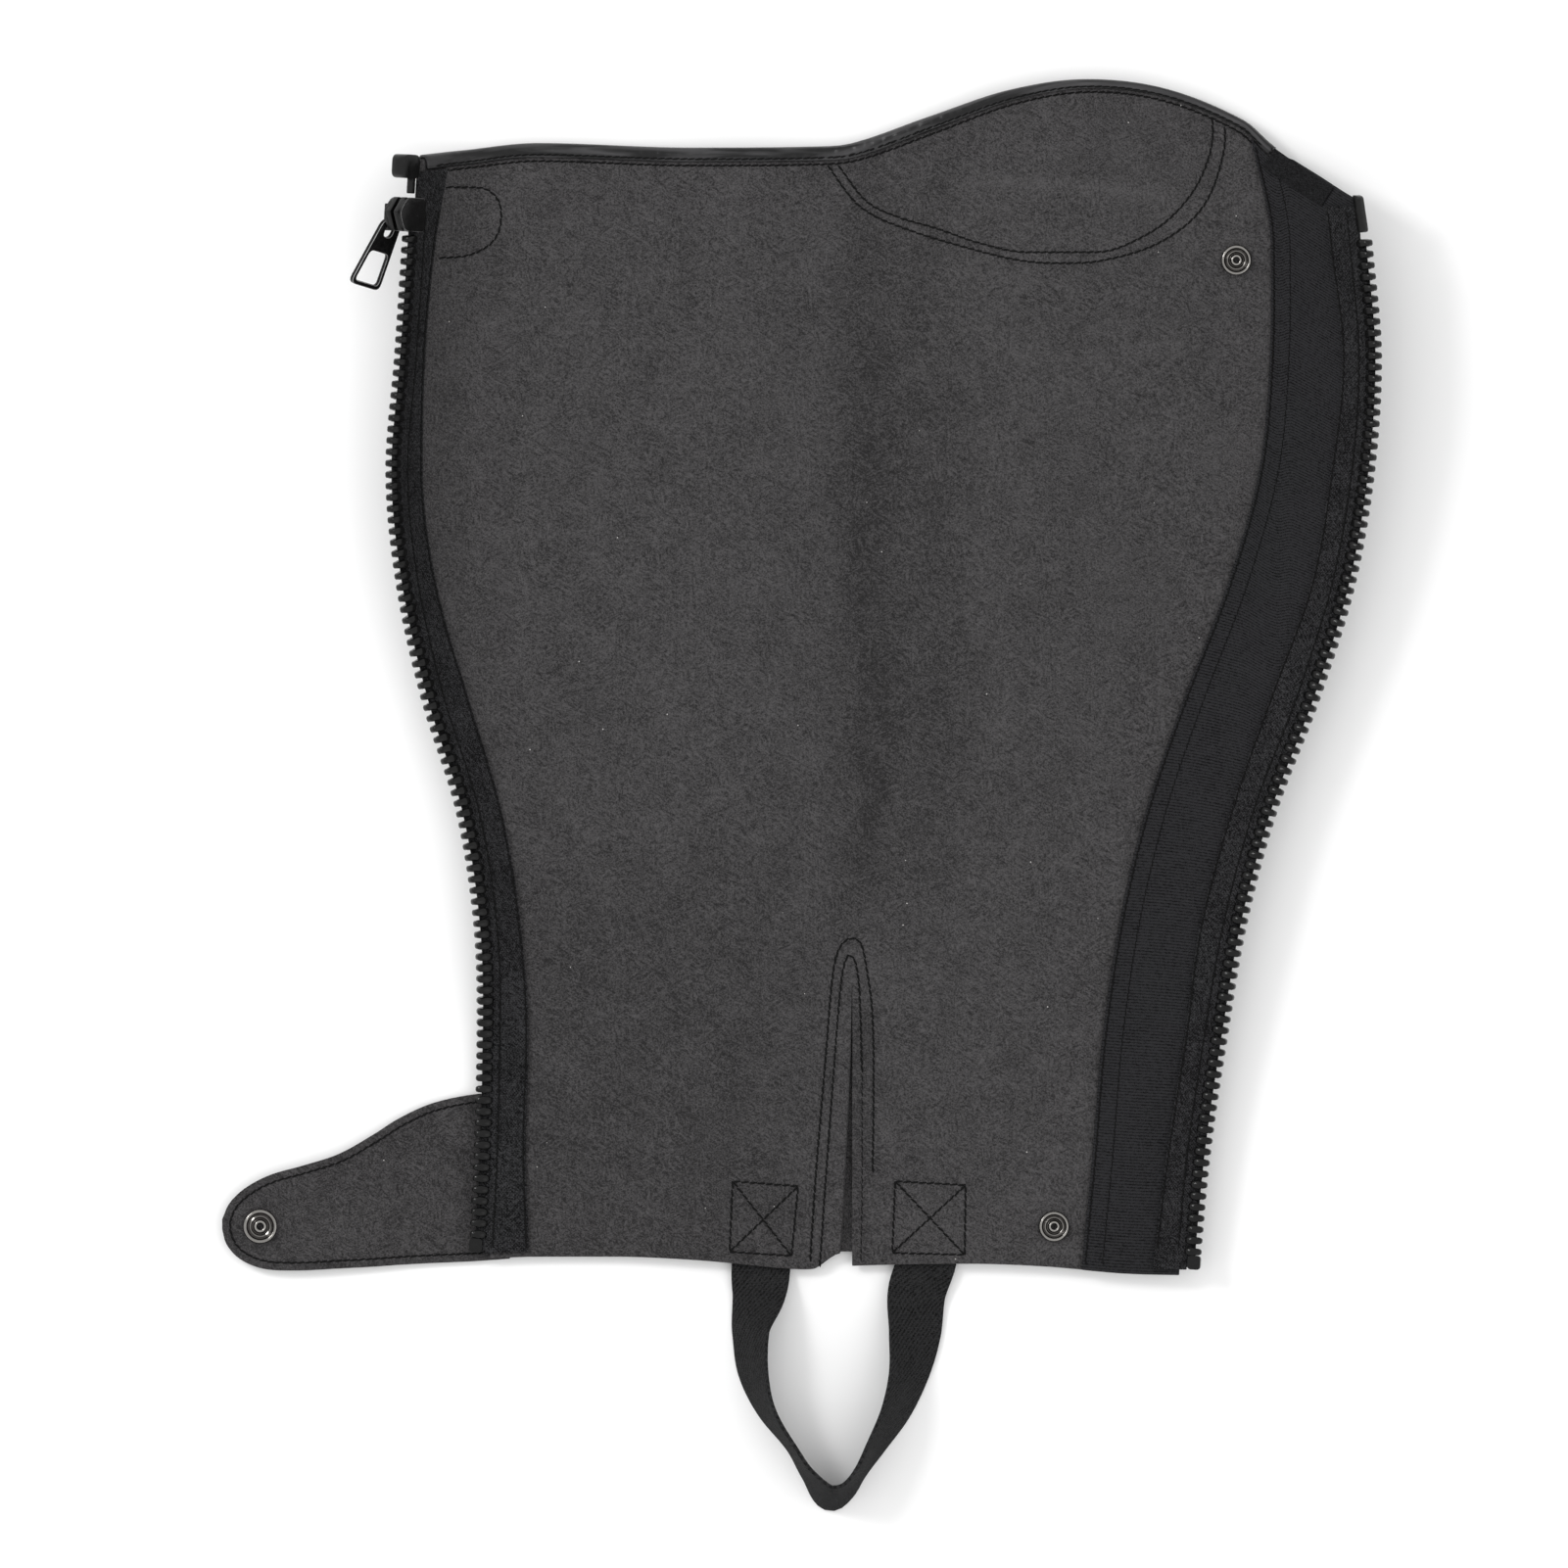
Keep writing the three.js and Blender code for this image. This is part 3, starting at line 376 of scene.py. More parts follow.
def lying(turn):
    """Fibres drawn out along one direction."""
    lean = {"Vector": nap_in.outputs[0], "Rotation": (0, 0, turn), "Scale": (3.4, 1, 1)}
    place = node(nap, "ShaderNodeMapping", lean, vector_type="TEXTURE").outputs[0]
    return noise(nap, place, nap_in.outputs[1], 3, 0.7)


def mixed(share, first, second):
    return node(nap, "ShaderNodeMix", {0: share, 2: first, 3: second}).outputs[0]


patches = [
    ranged(nap, noise(nap, nap_in.outputs[0], scale, 3), 0, 1, 0.44, 0.56) for scale in (140, 190)
]
strands = mixed(patches[0], lying(0.45), lying(1.7))
strands = mixed(patches[1], strands, lying(2.6))
speckle = noise(nap, nap_in.outputs[0], maths(nap, "MULTIPLY", nap_in.outputs[1], 1.5), 3, 0.8)
matted = mixed(0.58, strands, speckle)
nap.links.new(ranged(nap, matted, 0, 1, 0.41, 0.59), nap_out.inputs["Shade"])
nap.links.new(matted, nap_out.inputs["Height"])
nap.links.new(noise(nap, nap_in.outputs[0], 85, 5), nap_out.inputs["Cloud"])


def nap_on(tree, fineness):
    inputs = {"Vector": placed(tree), "Fineness": fineness}
    return node(tree, "ShaderNodeGroup", inputs, node_tree=nap).outputs


# Main panel
# The panel's two faces are bonded: grey brushed microfibre inside and black grained synthetic
# leather outside. It is cut in one piece and slit up from the hem to open over the foot.
TOOTH_REACH = 0.0046
CLOTH_IN = TOOTH_REACH + 0.003  # from the tips of the teeth to the edge of the cloth
TOP_MARGIN = 0.0018  # between the panel's edge and the fold of the edging
SEAM_LAP = 0.009
SLIT_HEIGHT = 0.099
SLIT_MOUTH = 0.0046
SLIT_LIP = 0.0013  # how far the left lip stands up
LIP_SPREAD = 0.03
LIP_HALF = 0.003
HEM_NOTCH = 0.0045
NOTCH_WIDTH = 0.011
NOTCH_HEIGHT = 0.014
ON_SLIT = 0.0002  # how near to its line a vertex of the slit lies
# Painted shade along the fold, in dark lines: how dark, how far right of the crease, and half their
# width.
FOLD_SHADE = [(0.13, 0.017, 0.012), (0.26, -0.005, 0.011)]
# Low on the left and on the flap the nap is darker, beside the slit's lip lies painted shadow, and
# in the arch a worn streak is lighter.
LOW_DARK = 0.12
SLIT_SHADOW = 0.2
ARCH_WORN = 0.25
HALF_COLUMNS = 62
PANEL_ROWS = 170
PANEL_CUT = (0.322, 0.426)
GREY_DARK = (0.0175, 0.0168, 0.0172)
GREY_LIGHT = (0.074, 0.0712, 0.0728)
LINT = (0.4, 0.39, 0.38)
LEATHER_BLACK = (0.009, 0.009, 0.0095)


def lining_finish():
    made, tree, shader = finish_of("microfibre_lining", 0.95, 0.12)
    shader.inputs["Sheen Weight"].default_value = 0.03
    shade, relief, clouds = nap_on(tree, 1100)
    tone = maths(tree, "ADD", shade, ranged(tree, clouds, -0.3, 0.3))
    # The mesh's attribute darkens the nap with painted shade along the crease and beside the slit,
    # darker low on the left, and lightens a worn streak.
    painted_light_and_wear = node(tree, "ShaderNodeAttribute", attribute_name="painted_light_and_wear").outputs["Fac"]
    cloth = between(tree, maths(tree, "ADD", tone, painted_light_and_wear), GREY_DARK, GREY_LIGHT)
    lint = {"Vector": placed(tree), "Scale": 95}
    specks = node(tree, "ShaderNodeTexVoronoi", lint).outputs["Distance"]
    linted = between(tree, maths(tree, "LESS_THAN", specks, 0.023), cloth, LINT)
    dress(tree, shader, linted, relief, 0.0006, 0.6)
    return made


def leather_finish():
    made, tree, shader = finish_of("grained_leather", 0.42)
    grained = {"Vector": placed(tree), "Scale": 820, "Randomness": 0.9}
    pebbles = node(tree, "ShaderNodeTexVoronoi", grained, feature="SMOOTH_F1").outputs[0]
    creases = noise(tree, placed(tree), 160, 6, 0.7)
    colour = between(tree, creases, LEATHER_BLACK, [2.1 * part for part in LEATHER_BLACK])
    relief = maths(tree, "ADD", maths(tree, "MULTIPLY", pebbles, 0.5), creases)
    dress(tree, shader, colour, relief, 0.0004, 0.5, ranged(tree, creases, 0.28, 0.52))
    return made


lining = lining_finish()
leather = leather_finish()
panel_left = in_from(left_teeth, CLOTH_IN)
left_half = upright(panel_left, lambda y: 0 * y, 0, lambda x: TOP_MARGIN)
right_half = upright(lambda y: 0 * y, lambda y: right_seam(y) + SEAM_LAP, 0, lambda x: TOP_MARGIN)


def panel_patch(u, v):
    left = left_half(np.minimum(2 * u, 1), v)
    right = right_half(np.maximum(2 * u - 1, 0), v)
    return [np.where(u < 0.5, a, b) for a, b in zip(left, right)]


panel_mesh = laid_mesh(panel_patch, 2 * HALF_COLUMNS, PANEL_ROWS, LEATHER, PANEL_CUT)
slit_foot = HEM_LINE + hem_edge(0)
slit_top = HEM_LINE + SLIT_HEIGHT


def in_slit(vert):
    return abs(vert.co.x - SLIT_LINE) < ON_SLIT and vert.co.y < slit_top


def ridge(value, middle, half):
    return np.exp(-(((value - middle) / half) ** 2))


def painted_shade_and_wear_at(x, y):
    """How much darker (below 0) or lighter the nap is: painted shade along the crease and beside
    the slit's lip, darker low on the left, and a lighter worn streak in the arch.
    """
    off = x - WIDTH * crease(y / LENGTH)
    marking = ease(0.24, 0.36, y / LENGTH) * (1 - 0.6 * ease(0.72, 0.9, y / LENGTH))
    # Painted shade along the crease.
    fold = sum(dark * ridge(off, middle, half) for dark, middle, half in FOLD_SHADE)
    # Painted shadow beside the slit, where the left lip stands up.
    slit_shadow = SLIT_SHADOW * ridge(x, 0.0035, 0.0035) * (1 - ease(0.08, 0.105, y))
    low = LOW_DARK * (1 - ease(0.1, 0.17, y)) * (1 - ease(-0.05, 0.01, x))
    knee = ease(0.03, 0.06, x) * (1 - ease(0.105, 0.13, x))
    streak = ARCH_WORN * knee * ridge(y, 0.3845 - 0.06 * (x - 0.05), 0.0025)
    return streak - marking * fold - slit_shadow - low


def mark_nap_shade_and_wear(bm, marking):
    """Mark on a mesh how much darker or lighter its nap is at each place, painted shade included.
    """
    layer = bm.verts.layers.float.new("painted_light_and_wear")
    for vert in bm.verts:
        vert[layer] = float(marking(vert.co.x - SLIT_LINE, vert.co.y - HEM_LINE))


slit_edges = [edge for edge in panel_mesh.edges if all(in_slit(vert) for vert in edge.verts)]
bmesh.ops.split_edges(panel_mesh, edges=slit_edges)
mark_nap_shade_and_wear(panel_mesh, painted_shade_and_wear_at)
for vert in panel_mesh.verts:
    aside = vert.co.x - SLIT_LINE
    middle = sum(face.calc_center_median().x for face in vert.link_faces) / len(vert.link_faces)
    if -LIP_SPREAD < aside < ON_SLIT and middle < SLIT_LINE and vert.co.y < slit_top:
        opening = (slit_top - vert.co.y) / (slit_top - slit_foot)
        low = 1 - ease(0, NOTCH_HEIGHT, vert.co.y - slit_foot)
        vert.co.x -= SLIT_MOUTH * opening**1.3 * (1 + aside / LIP_SPREAD)
        vert.co.y += HEM_NOTCH * ease(-NOTCH_WIDTH, 0, aside) * low
        vert.co.z += SLIT_LIP * ease(0, 0.3, opening) * ridge(aside, 0, LIP_HALF)
panel = finished("leg_panel", panel_mesh, [lining, leather], ["main_panel"])
wall(panel, LEATHER, back=1, rim=0)

# Pieces sewn on under the panel
# Three cuts of the same leather, glued and sewn to the outer face: the arched knee patch, the
# base of the tab at the top of the zip, and the gore that closes the slit from outside.
TRIM = 0.0012
TRIM_TOP = -LAP_GAP
INSET_HEIGHT = 0.1145
INSET_WIDTH = 0.023
BINDING_DEPTH = 0.005
OVERLAY_TOP = BINDING_DEPTH + 0.0009
OVERLAY = [
    (-0.03, 0.924), (0.0, 0.893), (0.04, 0.868), (0.1, 0.852), (0.178, 0.838),
    (0.244, 0.839), (0.3, 0.853), (0.34, 0.88), (0.37, 0.925),
]
TAB_LEFT = -0.1483
TAB_REACH = 0.02
TAB_MIDDLE = 0.3688
TAB_HALF = 0.0135
overlay_foot = smooth_column(OVERLAY, 1)


def gore_patch(u, v):
    half = 0.5 * INSET_WIDTH * np.sqrt(1 - 0.97 * v**4)
    lean = -0.16 * INSET_WIDTH * (1 - v)
    return lean + half * (2 * u - 1), INSET_HEIGHT * (0.022 + 0.978 * v)


def knee_patch(u, v):
    side = OVERLAY[0][0] + (OVERLAY[-1][0] - OVERLAY[0][0]) * u
    x = WIDTH * side
    low = LENGTH * overlay_foot(side)
    return x, low + (top_edge(x) - below_top(x, OVERLAY_TOP) - low) * v


def tab_patch(u, v):
    half = TAB_HALF * np.sqrt(1 - 0.96 * u**3)
    return TAB_LEFT + TAB_REACH * u, TAB_MIDDLE + half * (2 * v - 1)


sewn_under = [
    ("slit_gore", "slit_inset", gore_patch, 10, 48, (0.023, 0.112), 0.00226),
    ("knee_cap_patch", "knee_overlay", knee_patch, 60, 20, (0.144, 0.062), 0.0064),
    ("tab_patch", "tab_base", tab_patch, 10, 12, (0.0205, 0.027), 0.00053),
]
for name, solid, patch, columns, rows, cut, area in sewn_under:
    under = finished(
        name,
        laid_mesh(patch, columns, rows, TRIM_TOP, cut),
        [lining, leather],
        [solid],
    )
    wall(under, TRIM, back=1, rim=1)

# Seams through the lining
# Bonded black thread, lockstitched by machine, shows inside as short slanting stitches: a double
# row round the knee patch, one round the tab's base, and two up and over the slit.
STITCH = 0.0028
STITCH_PITCH = 0.0027
STITCH_SLANT = 0.14  # radians
THREAD = 0.00034  # radius
FAINT_THREAD = 0.6 * THREAD
STAND = 0.00005  # how far above a face the middle of its stitches lies
CURVE_STEP = 0.0005
ARCH_OUTER = [
    (-8.8, 390.5), (0.4, 378), (8, 372.4), (23, 366.5), (38, 362), (53, 358), (64.4, 356),
    (75.6, 355.6), (87.9, 356.3), (105.7, 361), (118.7, 368.6), (126.4, 377.3), (131, 388.5),
    (133.2, 400.8), (133, 404.6),
]
ARCH_INNER = [
    (-5, 390.5), (5, 377.7), (15.4, 372.4), (30.5, 367.9), (45.5, 362.8), (62.3, 359.5),
    (87.5, 359.5), (105.7, 366), (116.9, 374.9), (125, 387), (128.8, 402), (128.5, 407.8),
]
TAB_SEAM = [
    (-146, 382.6), (-133.7, 382.6), (-127, 379), (-125.3, 372.4), (-126.7, 365.8), (-130, 362),
    (-136.5, 358.8), (-143, 357.7), (-149, 357.4),
]
SLIT_OUTER = [
    (-15, -1), (-13, 30), (-9.5, 72), (-6.7, 103), (-4.2, 111.7), (-0.4, 114.5), (2.8, 113.5),
    (5.3, 103), (7.2, 88.6), (7.7, 64.8), (7.4, 30.8),
]
SLIT_INNER = [
    (-11.6, -3), (-9.6, 26), (-7.4, 56.4), (-4.2, 96.3), (-2.6, 106), (-0.7, 108.9), (1.2, 106),
    (2.6, 96), (3.6, 66),
]
SLIT_FAINT = [(3.6, 66), (3.6, 30), (3.2, -1)]


def run_along(points):
    """How far along a line each of its points lies."""
    return np.r_[0, np.hypot(*np.diff(points, axis=0).T).cumsum()]


def curve_through(points):
    """A smooth line in the plan through points in millimetres."""
    points = 0.001 * np.array(points, float)
    run = run_along(points)
    table = np.column_stack((run, points))
    at = np.arange(0, run[-1], CURVE_STEP)
    return np.column_stack((smooth_column(table, 1)(at), smooth_column(table, 2)(at)))


def set_in(bm, mesh, place):
    """Add a copy of a small mesh at its place."""
    copy = mesh.copy()
    copy.transform(place)
    bm.from_mesh(copy)
    bpy.data.meshes.remove(copy)


def frame_at(origin, *axes):
    """The frame with its origin at a place and its three axes as given."""
    place = Matrix(axes).transposed().to_4x4()
    place.translation = Vector(origin)
    return place


grain = bmesh.new()
bmesh.ops.create_uvsphere(grain, u_segments=7, v_segments=4, radius=1)
one_stitch = mesh_of("one_stitch", grain)


def sew(bm, line, off, radius=THREAD):
    """Sew a row of stitches along a line of the plan, half sunk at the given height."""
    run = run_along(line)
    count = max(int(run[-1] / STITCH_PITCH), 1)
    middle = (np.arange(count) + 0.5) * run[-1] / count

    def on_line(at):
        return np.interp(at, run, line[:, 0]), np.interp(at, run, line[:, 1])

    starts, ends = [
        lay(*on_line(np.clip(middle + side * STITCH, 0, run[-1])), off) for side in (-0.5, 0.5)
    ]
    for start, end, up in zip(starts, ends, normal_at(*on_line(middle))):
        along = Vector(end - start)
        up = Vector(up)
        across = along.cross(up).normalized()
        along = Matrix.Rotation(STITCH_SLANT, 3, up) @ along * 0.54
        axes = (across * radius * 1.15, up * radius, along)
        set_in(bm, one_stitch, frame_at((start + end) / 2, *axes))


def stitched(name, rows):
    """A piece of rows of stitches: for each its line, its height and, if fainter, its radius."""
    bm = bmesh.new()
    for row in rows:
        sew(bm, *row)
    return finished(name, bm, [thread])


def thread_finish():
    made, tree, shader = finish_of("bonded_thread", 0.6, 0.1)
    twine = {"Vector": placed(tree), "Scale": 700, "Distortion": 3, "Detail": 2}
    twist = node(tree, "ShaderNodeTexWave", twine, bands_direction="DIAGONAL").outputs["Fac"]
    dress(tree, shader, between(tree, twist, grey(0.001), grey(0.006)), twist, 0.0002, 0.5)
    return made


thread = thread_finish()
lining_top = LEATHER + STAND
seams = [
    (curve_through(points), lining_top)
    for points in (ARCH_OUTER, ARCH_INNER, TAB_SEAM, SLIT_OUTER, SLIT_INNER)
]
seams.append((curve_through(SLIT_FAINT), lining_top - 2 * STAND, FAINT_THREAD))
stitched("lining_seams", seams)

# Top edging
# A folded strip of smooth leather binds the top edge from the zip round the arch. It is sewn
# through both faces, and it puckers where the edge curves in.
BINDING_WALL = 0.001
BINDING_GAP = 0.0005
BINDING_FROM = -0.428 * WIDTH
BINDING_TO = 0.421 * WIDTH
BINDING_COLUMNS = 420
BINDING_CUT = (0.014, 0.325)
BINDING_HIGH = LEATHER + BINDING_GAP + BINDING_WALL
BINDING_LOW = -BINDING_GAP - BINDING_WALL
PUCKER = 0.00028
GATHER_AT = 0.005  # where the edge curves in and the strip gathers most
GATHER_HALF = 0.018
FOLD_FOOT = 0.0054
FOLD_NOSE = 0.0002
FOLD_SEAM = FOLD_FOOT - 0.001
LOWER_SEAM = 0.0013  # from the strip's foot down to the row in the lining
SEAM_ENDS = 0.003
# Half the strip's section from the inside foot round the fold: in from the edge, then height.
FOLD = [
    (FOLD_FOOT, BINDING_HIGH - 0.0005), (FOLD_FOOT - 0.0004, BINDING_HIGH - 0.0001),
    (FOLD_SEAM, BINDING_HIGH - 0.0003), (FOLD_SEAM - 0.0008, BINDING_HIGH + 0.0001),
    (0.002, BINDING_HIGH), (0.001, BINDING_HIGH - 0.0004), (0.0004, BINDING_HIGH - 0.0014),
]


def folded_in(x, inward):
    """How far in from the edge a place of the strip lies: it narrows round the arch."""
    narrow = 1 - 0.38 * ease(0.01, 0.1, x)
    return FOLD_NOSE + (inward - FOLD_NOSE) * narrow


def in_from_top(x, inward):
    """The place in the plan that lies some way in from the top edge, square to it."""
    slope = top_slope(x)
    lean = inward / np.hypot(1, slope)
    return x + lean * slope, top_edge(x) - lean


def edging_mesh():
    middle = 0.5 * (BINDING_HIGH + BINDING_LOW)
    section = FOLD + [(FOLD_NOSE, middle)]
    section += [(inward, 2 * middle - high) for inward, high in reversed(FOLD)]
    around = len(section) - 1
    bm, along, across = grid(BINDING_COLUMNS, around)
    inward, high = np.array(section)[(around * across).round().astype(int)].T
    x = BINDING_FROM + (BINDING_TO - BINDING_FROM) * along
    gather = 0.35 + 1.6 * ridge(x, GATHER_AT, GATHER_HALF)
    ripple = np.sin(x * 1250 + 2.1 * np.sin(x * 170)) * np.sin(x * 410 + inward * 500)
    puff = PUCKER * gather * ripple * np.where(high > middle, 1, -0.4)
    closed = 0.78 + 0.22 * ease(0, 0.003, np.minimum(x - BINDING_FROM, BINDING_TO - x))
    high = middle + (high - middle) * closed
    for vert, place in zip(bm.verts, lay(*in_from_top(x, folded_in(x, inward)), high + puff)):
        vert.co = place
    set_uv(bm, BINDING_CUT[1] * along, BINDING_CUT[0] * across)
    return bm


def smooth_leather_finish():
    made, tree, shader = finish_of("edging_leather", 0.3, 0.3)
    pores = noise(tree, placed(tree), 900, 4)
    strip = {"Vector": placed(tree, "UV"), "Scale": (34, 460, 1)}
    folds = noise(tree, node(tree, "ShaderNodeMapping", strip).outputs[0], 1, 4, 0.5, 0.5)
    # Painted sheen: long light streaks along the strip where its folds would catch the light. They
    # also set its roughness.
    painted_sheen = ranged(tree, folds, 0, 1, 0.42, 0.72)
    colour = between(tree, painted_sheen, (0.003, 0.003, 0.0033), (0.055, 0.0537, 0.056))
    relief = maths(tree, "ADD", maths(tree, "MULTIPLY", pores, 0.4), folds)
    dress(tree, shader, colour, relief, 0.0005, 0.6, ranged(tree, painted_sheen, 0.28, 0.5))
    return made


edging = finished(
    "top_edging", edging_mesh(), [smooth_leather_finish()], ["top_binding"]
)
wall(edging, BINDING_WALL - 0.0002, edge=0)

along_top = np.linspace(BINDING_FROM + SEAM_ENDS, BINDING_TO - SEAM_ENDS, 600)
edging_rows = [
    ("edging_stitches", folded_in(along_top, FOLD_SEAM), BINDING_HIGH - 0.0002),
    ("edging_lower_stitches", folded_in(along_top, FOLD_FOOT) + LOWER_SEAM, lining_top),
]
edging_stitches, _ = [
    stitched(name, [(np.column_stack(in_from_top(along_top, inward)), off)])
    for name, inward, off in edging_rows
]

# Elastic gusset
# A strip of black ribbed elastic between the panel and the right half of the zip. It laps over
# the panel under two rows of stitches, and its slanting top edge is turned over and sewn.
ELASTIC = 0.0012
GUSSET_LOW = LEATHER + LAP_GAP
GUSSET_TOP = GUSSET_LOW + ELASTIC
GUSSET_COLUMNS = 22
GUSSET_CUT = (0.044, 0.402)
RIB_PITCH = 0.00105
EDGING_GAP = 0.0005
EDGING_RISE = 0.006  # over which the elastic comes up from under the edging
TURNED_HEM = 0.0082
TURNED_WALL = 0.0006
TURNED_OFF = 0.0007
TURNED_REACH = 0.0032
GUSSET_SEAM_TOP = 0.397
GUSSET_ROWS = ((0.0012, THREAD), (0.0074, FAINT_THREAD))  # in from the edge, and the thread
gusset_right = in_from(right_teeth, CLOTH_IN)

# Weave: threads over and under each other, plain where the repeat is 2 and twilled where it is 4.
weave, weave_in, weave_out = group_of(
    "woven_threads",
    {"Vector": "Vector", "Across": "Float", "Along": "Float", "Repeat": "Float"},
    ("Shade", "Height", "Ribs"),
)
spot = node(weave, "ShaderNodeSeparateXYZ", {"Vector": weave_in.outputs["Vector"]})
warp_place = maths(weave, "MULTIPLY", spot.outputs[0], weave_in.outputs["Across"])
weft_place = maths(weave, "MULTIPLY", spot.outputs[1], weave_in.outputs["Along"])
crossing = maths(
    weave, "ADD", maths(weave, "FLOOR", warp_place), maths(weave, "FLOOR", weft_place)
)
turn = maths(weave, "FRACT", maths(weave, "DIVIDE", crossing, weave_in.outputs["Repeat"]))
warp_over = maths(weave, "LESS_THAN", turn, 0.49)


def rounded_thread(place):
    return maths(weave, "ABSOLUTE", maths(weave, "SINE", maths(weave, "MULTIPLY", place, math.pi)))


warp_height = maths(weave, "MULTIPLY", rounded_thread(warp_place), warp_over)
weft_over = maths(weave, "SUBTRACT", 1.0, warp_over)
weft_height = maths(weave, "MULTIPLY", rounded_thread(weft_place), weft_over)
thread_height = maths(weave, "ADD", warp_height, weft_height)
weave.links.new(thread_height, weave_out.inputs["Height"])
# Shade is lighter on the rounded crowns of the threads and darker between them, and Ribs darker
# between the ribs: painted shade in the grooves.
weave.links.new(
    maths(weave, "MULTIPLY", thread_height, ranged(weave, warp_over, 0.45, 1.0)),
    weave_out.inputs["Shade"],
)
weave.links.new(rounded_thread(weft_place), weave_out.inputs["Ribs"])


def woven_finish(name, across, along, repeat, dark, light, depth, ribs=0.0, clear=0.5):
    """Cloth with that many threads to the metre each way, in its own coordinates."""
    made, tree, shader = finish_of(name, 0.85, 0.1)
    counts = {"Vector": placed(tree, "UV"), "Across": across, "Along": along, "Repeat": repeat}
    threads = node(tree, "ShaderNodeGroup", counts, node_tree=weave).outputs
    fuzz = nap_on(tree, 1300)
    # The threads' tone and the ribs carry painted shade in the grooves between them.
    tone = maths(tree, "MULTIPLY", threads["Shade"], clear)
    tone = maths(tree, "ADD", tone, maths(tree, "MULTIPLY", threads["Ribs"], ribs))
    tone = maths(tree, "ADD", tone, ranged(tree, fuzz["Cloud"], -0.3, 0.3))
    tone = maths(tree, "ADD", tone, ranged(tree, fuzz["Shade"], -0.45, 0.6))
    relief = maths(tree, "ADD", threads["Height"], maths(tree, "MULTIPLY", fuzz["Height"], 0.6))
    dress(tree, shader, between(tree, tone, dark, light), relief, depth, 0.7)
    return made


ribbed = woven_finish(
    "ribbed_elastic", 2400, 1 / RIB_PITCH, 2, grey(0.001), (0.025, 0.025, 0.027), 0.0003, ribs=0.8
)
hem_from = BINDING_TO + EDGING_GAP


def under_binding(x):
    foot = folded_in(x, FOLD_FOOT) + EDGING_GAP
    return below_top(x, foot) * (1 - ease(hem_from, hem_from + EDGING_RISE, x))


gusset_patch = upright(right_seam, gusset_right, 0, under_binding)
gusset = finished(
    "elastic_panel",
    laid_mesh(gusset_patch, GUSSET_COLUMNS, 200, GUSSET_TOP, GUSSET_CUT),
    [ribbed],
    ["elastic_gusset"],
)
wall(gusset, ELASTIC)


def along_edge(edge, low, high, aside=0.0):
    """A line of the plan that follows an upright edge, some way to its side."""
    y = np.linspace(low, high, 500)
    return np.column_stack((edge(y) + aside, y))


def turned_hem_patch(u, v):
    hem_to = gusset_edge(0.38) + TURNED_REACH
    x, y = in_from_top(hem_from + (hem_to - hem_from) * u, TURNED_HEM * (1 - v))
    return x, y - 0.0002


smooth_tape = woven_finish(
    "turned_hem_cloth", 2600, 2600, 2, (0.004, 0.004, 0.0043), (0.022, 0.022, 0.0235), 0.0002
)
turned_hem = finished(
    "gusset_turned_hem",
    laid_mesh(turned_hem_patch, 16, 6, GUSSET_TOP + TURNED_OFF, (0.02, TURNED_HEM)),
    [smooth_tape],
)
wall(turned_hem, TURNED_WALL, edge=0.0002)
gusset_rows = [
    (along_edge(right_seam, hem_edge(0.085) + 0.002, GUSSET_SEAM_TOP, aside), GUSSET_TOP, radius)
    for aside, radius in GUSSET_ROWS
]
gusset_seams = stitched("gusset_stitches", gusset_rows)

# Zip tapes
# Woven polyester tape carries each half of the zip. The left one is sewn straight onto the
# lining and the right one onto the elastic, each with a row of stitches down both edges.
TAPE = 0.001
GAP = 0.0003
LEFT_TAPE_TOP = LEATHER + LAP_GAP + TAPE
RIGHT_TAPE_TOP = GUSSET_TOP + LAP_GAP + TAPE
LEFT_TAPE_CUT = (0.0142, 0.392)
RIGHT_TAPE_CUT = (0.0122, 0.392)
RIGHT_TAPE_END = 0.3757
TAPE_HEM = 0.002
TAPE_SEAM = (0.004, 0.374)  # where its rows of stitches start and end
EDGE_ROW = 0.0008  # the rows' distances in from its sewn edge and from its corded one
CORD_ROW = 0.0035
LEFT_TAPE_DOWN = BINDING_DEPTH + 0.0009
tape_cloth = woven_finish(
    "zip_tape_cloth", 1900, 1500, 2, (0.002, 0.002, 0.0022), (0.047, 0.047, 0.0495), 0.00025
)
left_tape_edge = in_from(left_teeth, TOOTH_REACH + GAP)
right_tape_edge = in_from(right_teeth, TOOTH_REACH + GAP)


def left_tape_seam(y):
    """The tape's sewn edge, drawn out by what its height over the curled sheet moves it in."""
    x = left_seam(y)
    return x - LEFT_TAPE_TOP * normal_at(x, np.asarray(y, float))[..., 0]


def right_tape_top(x):
    return np.maximum(0.003, top_edge(x) - RIGHT_TAPE_END)


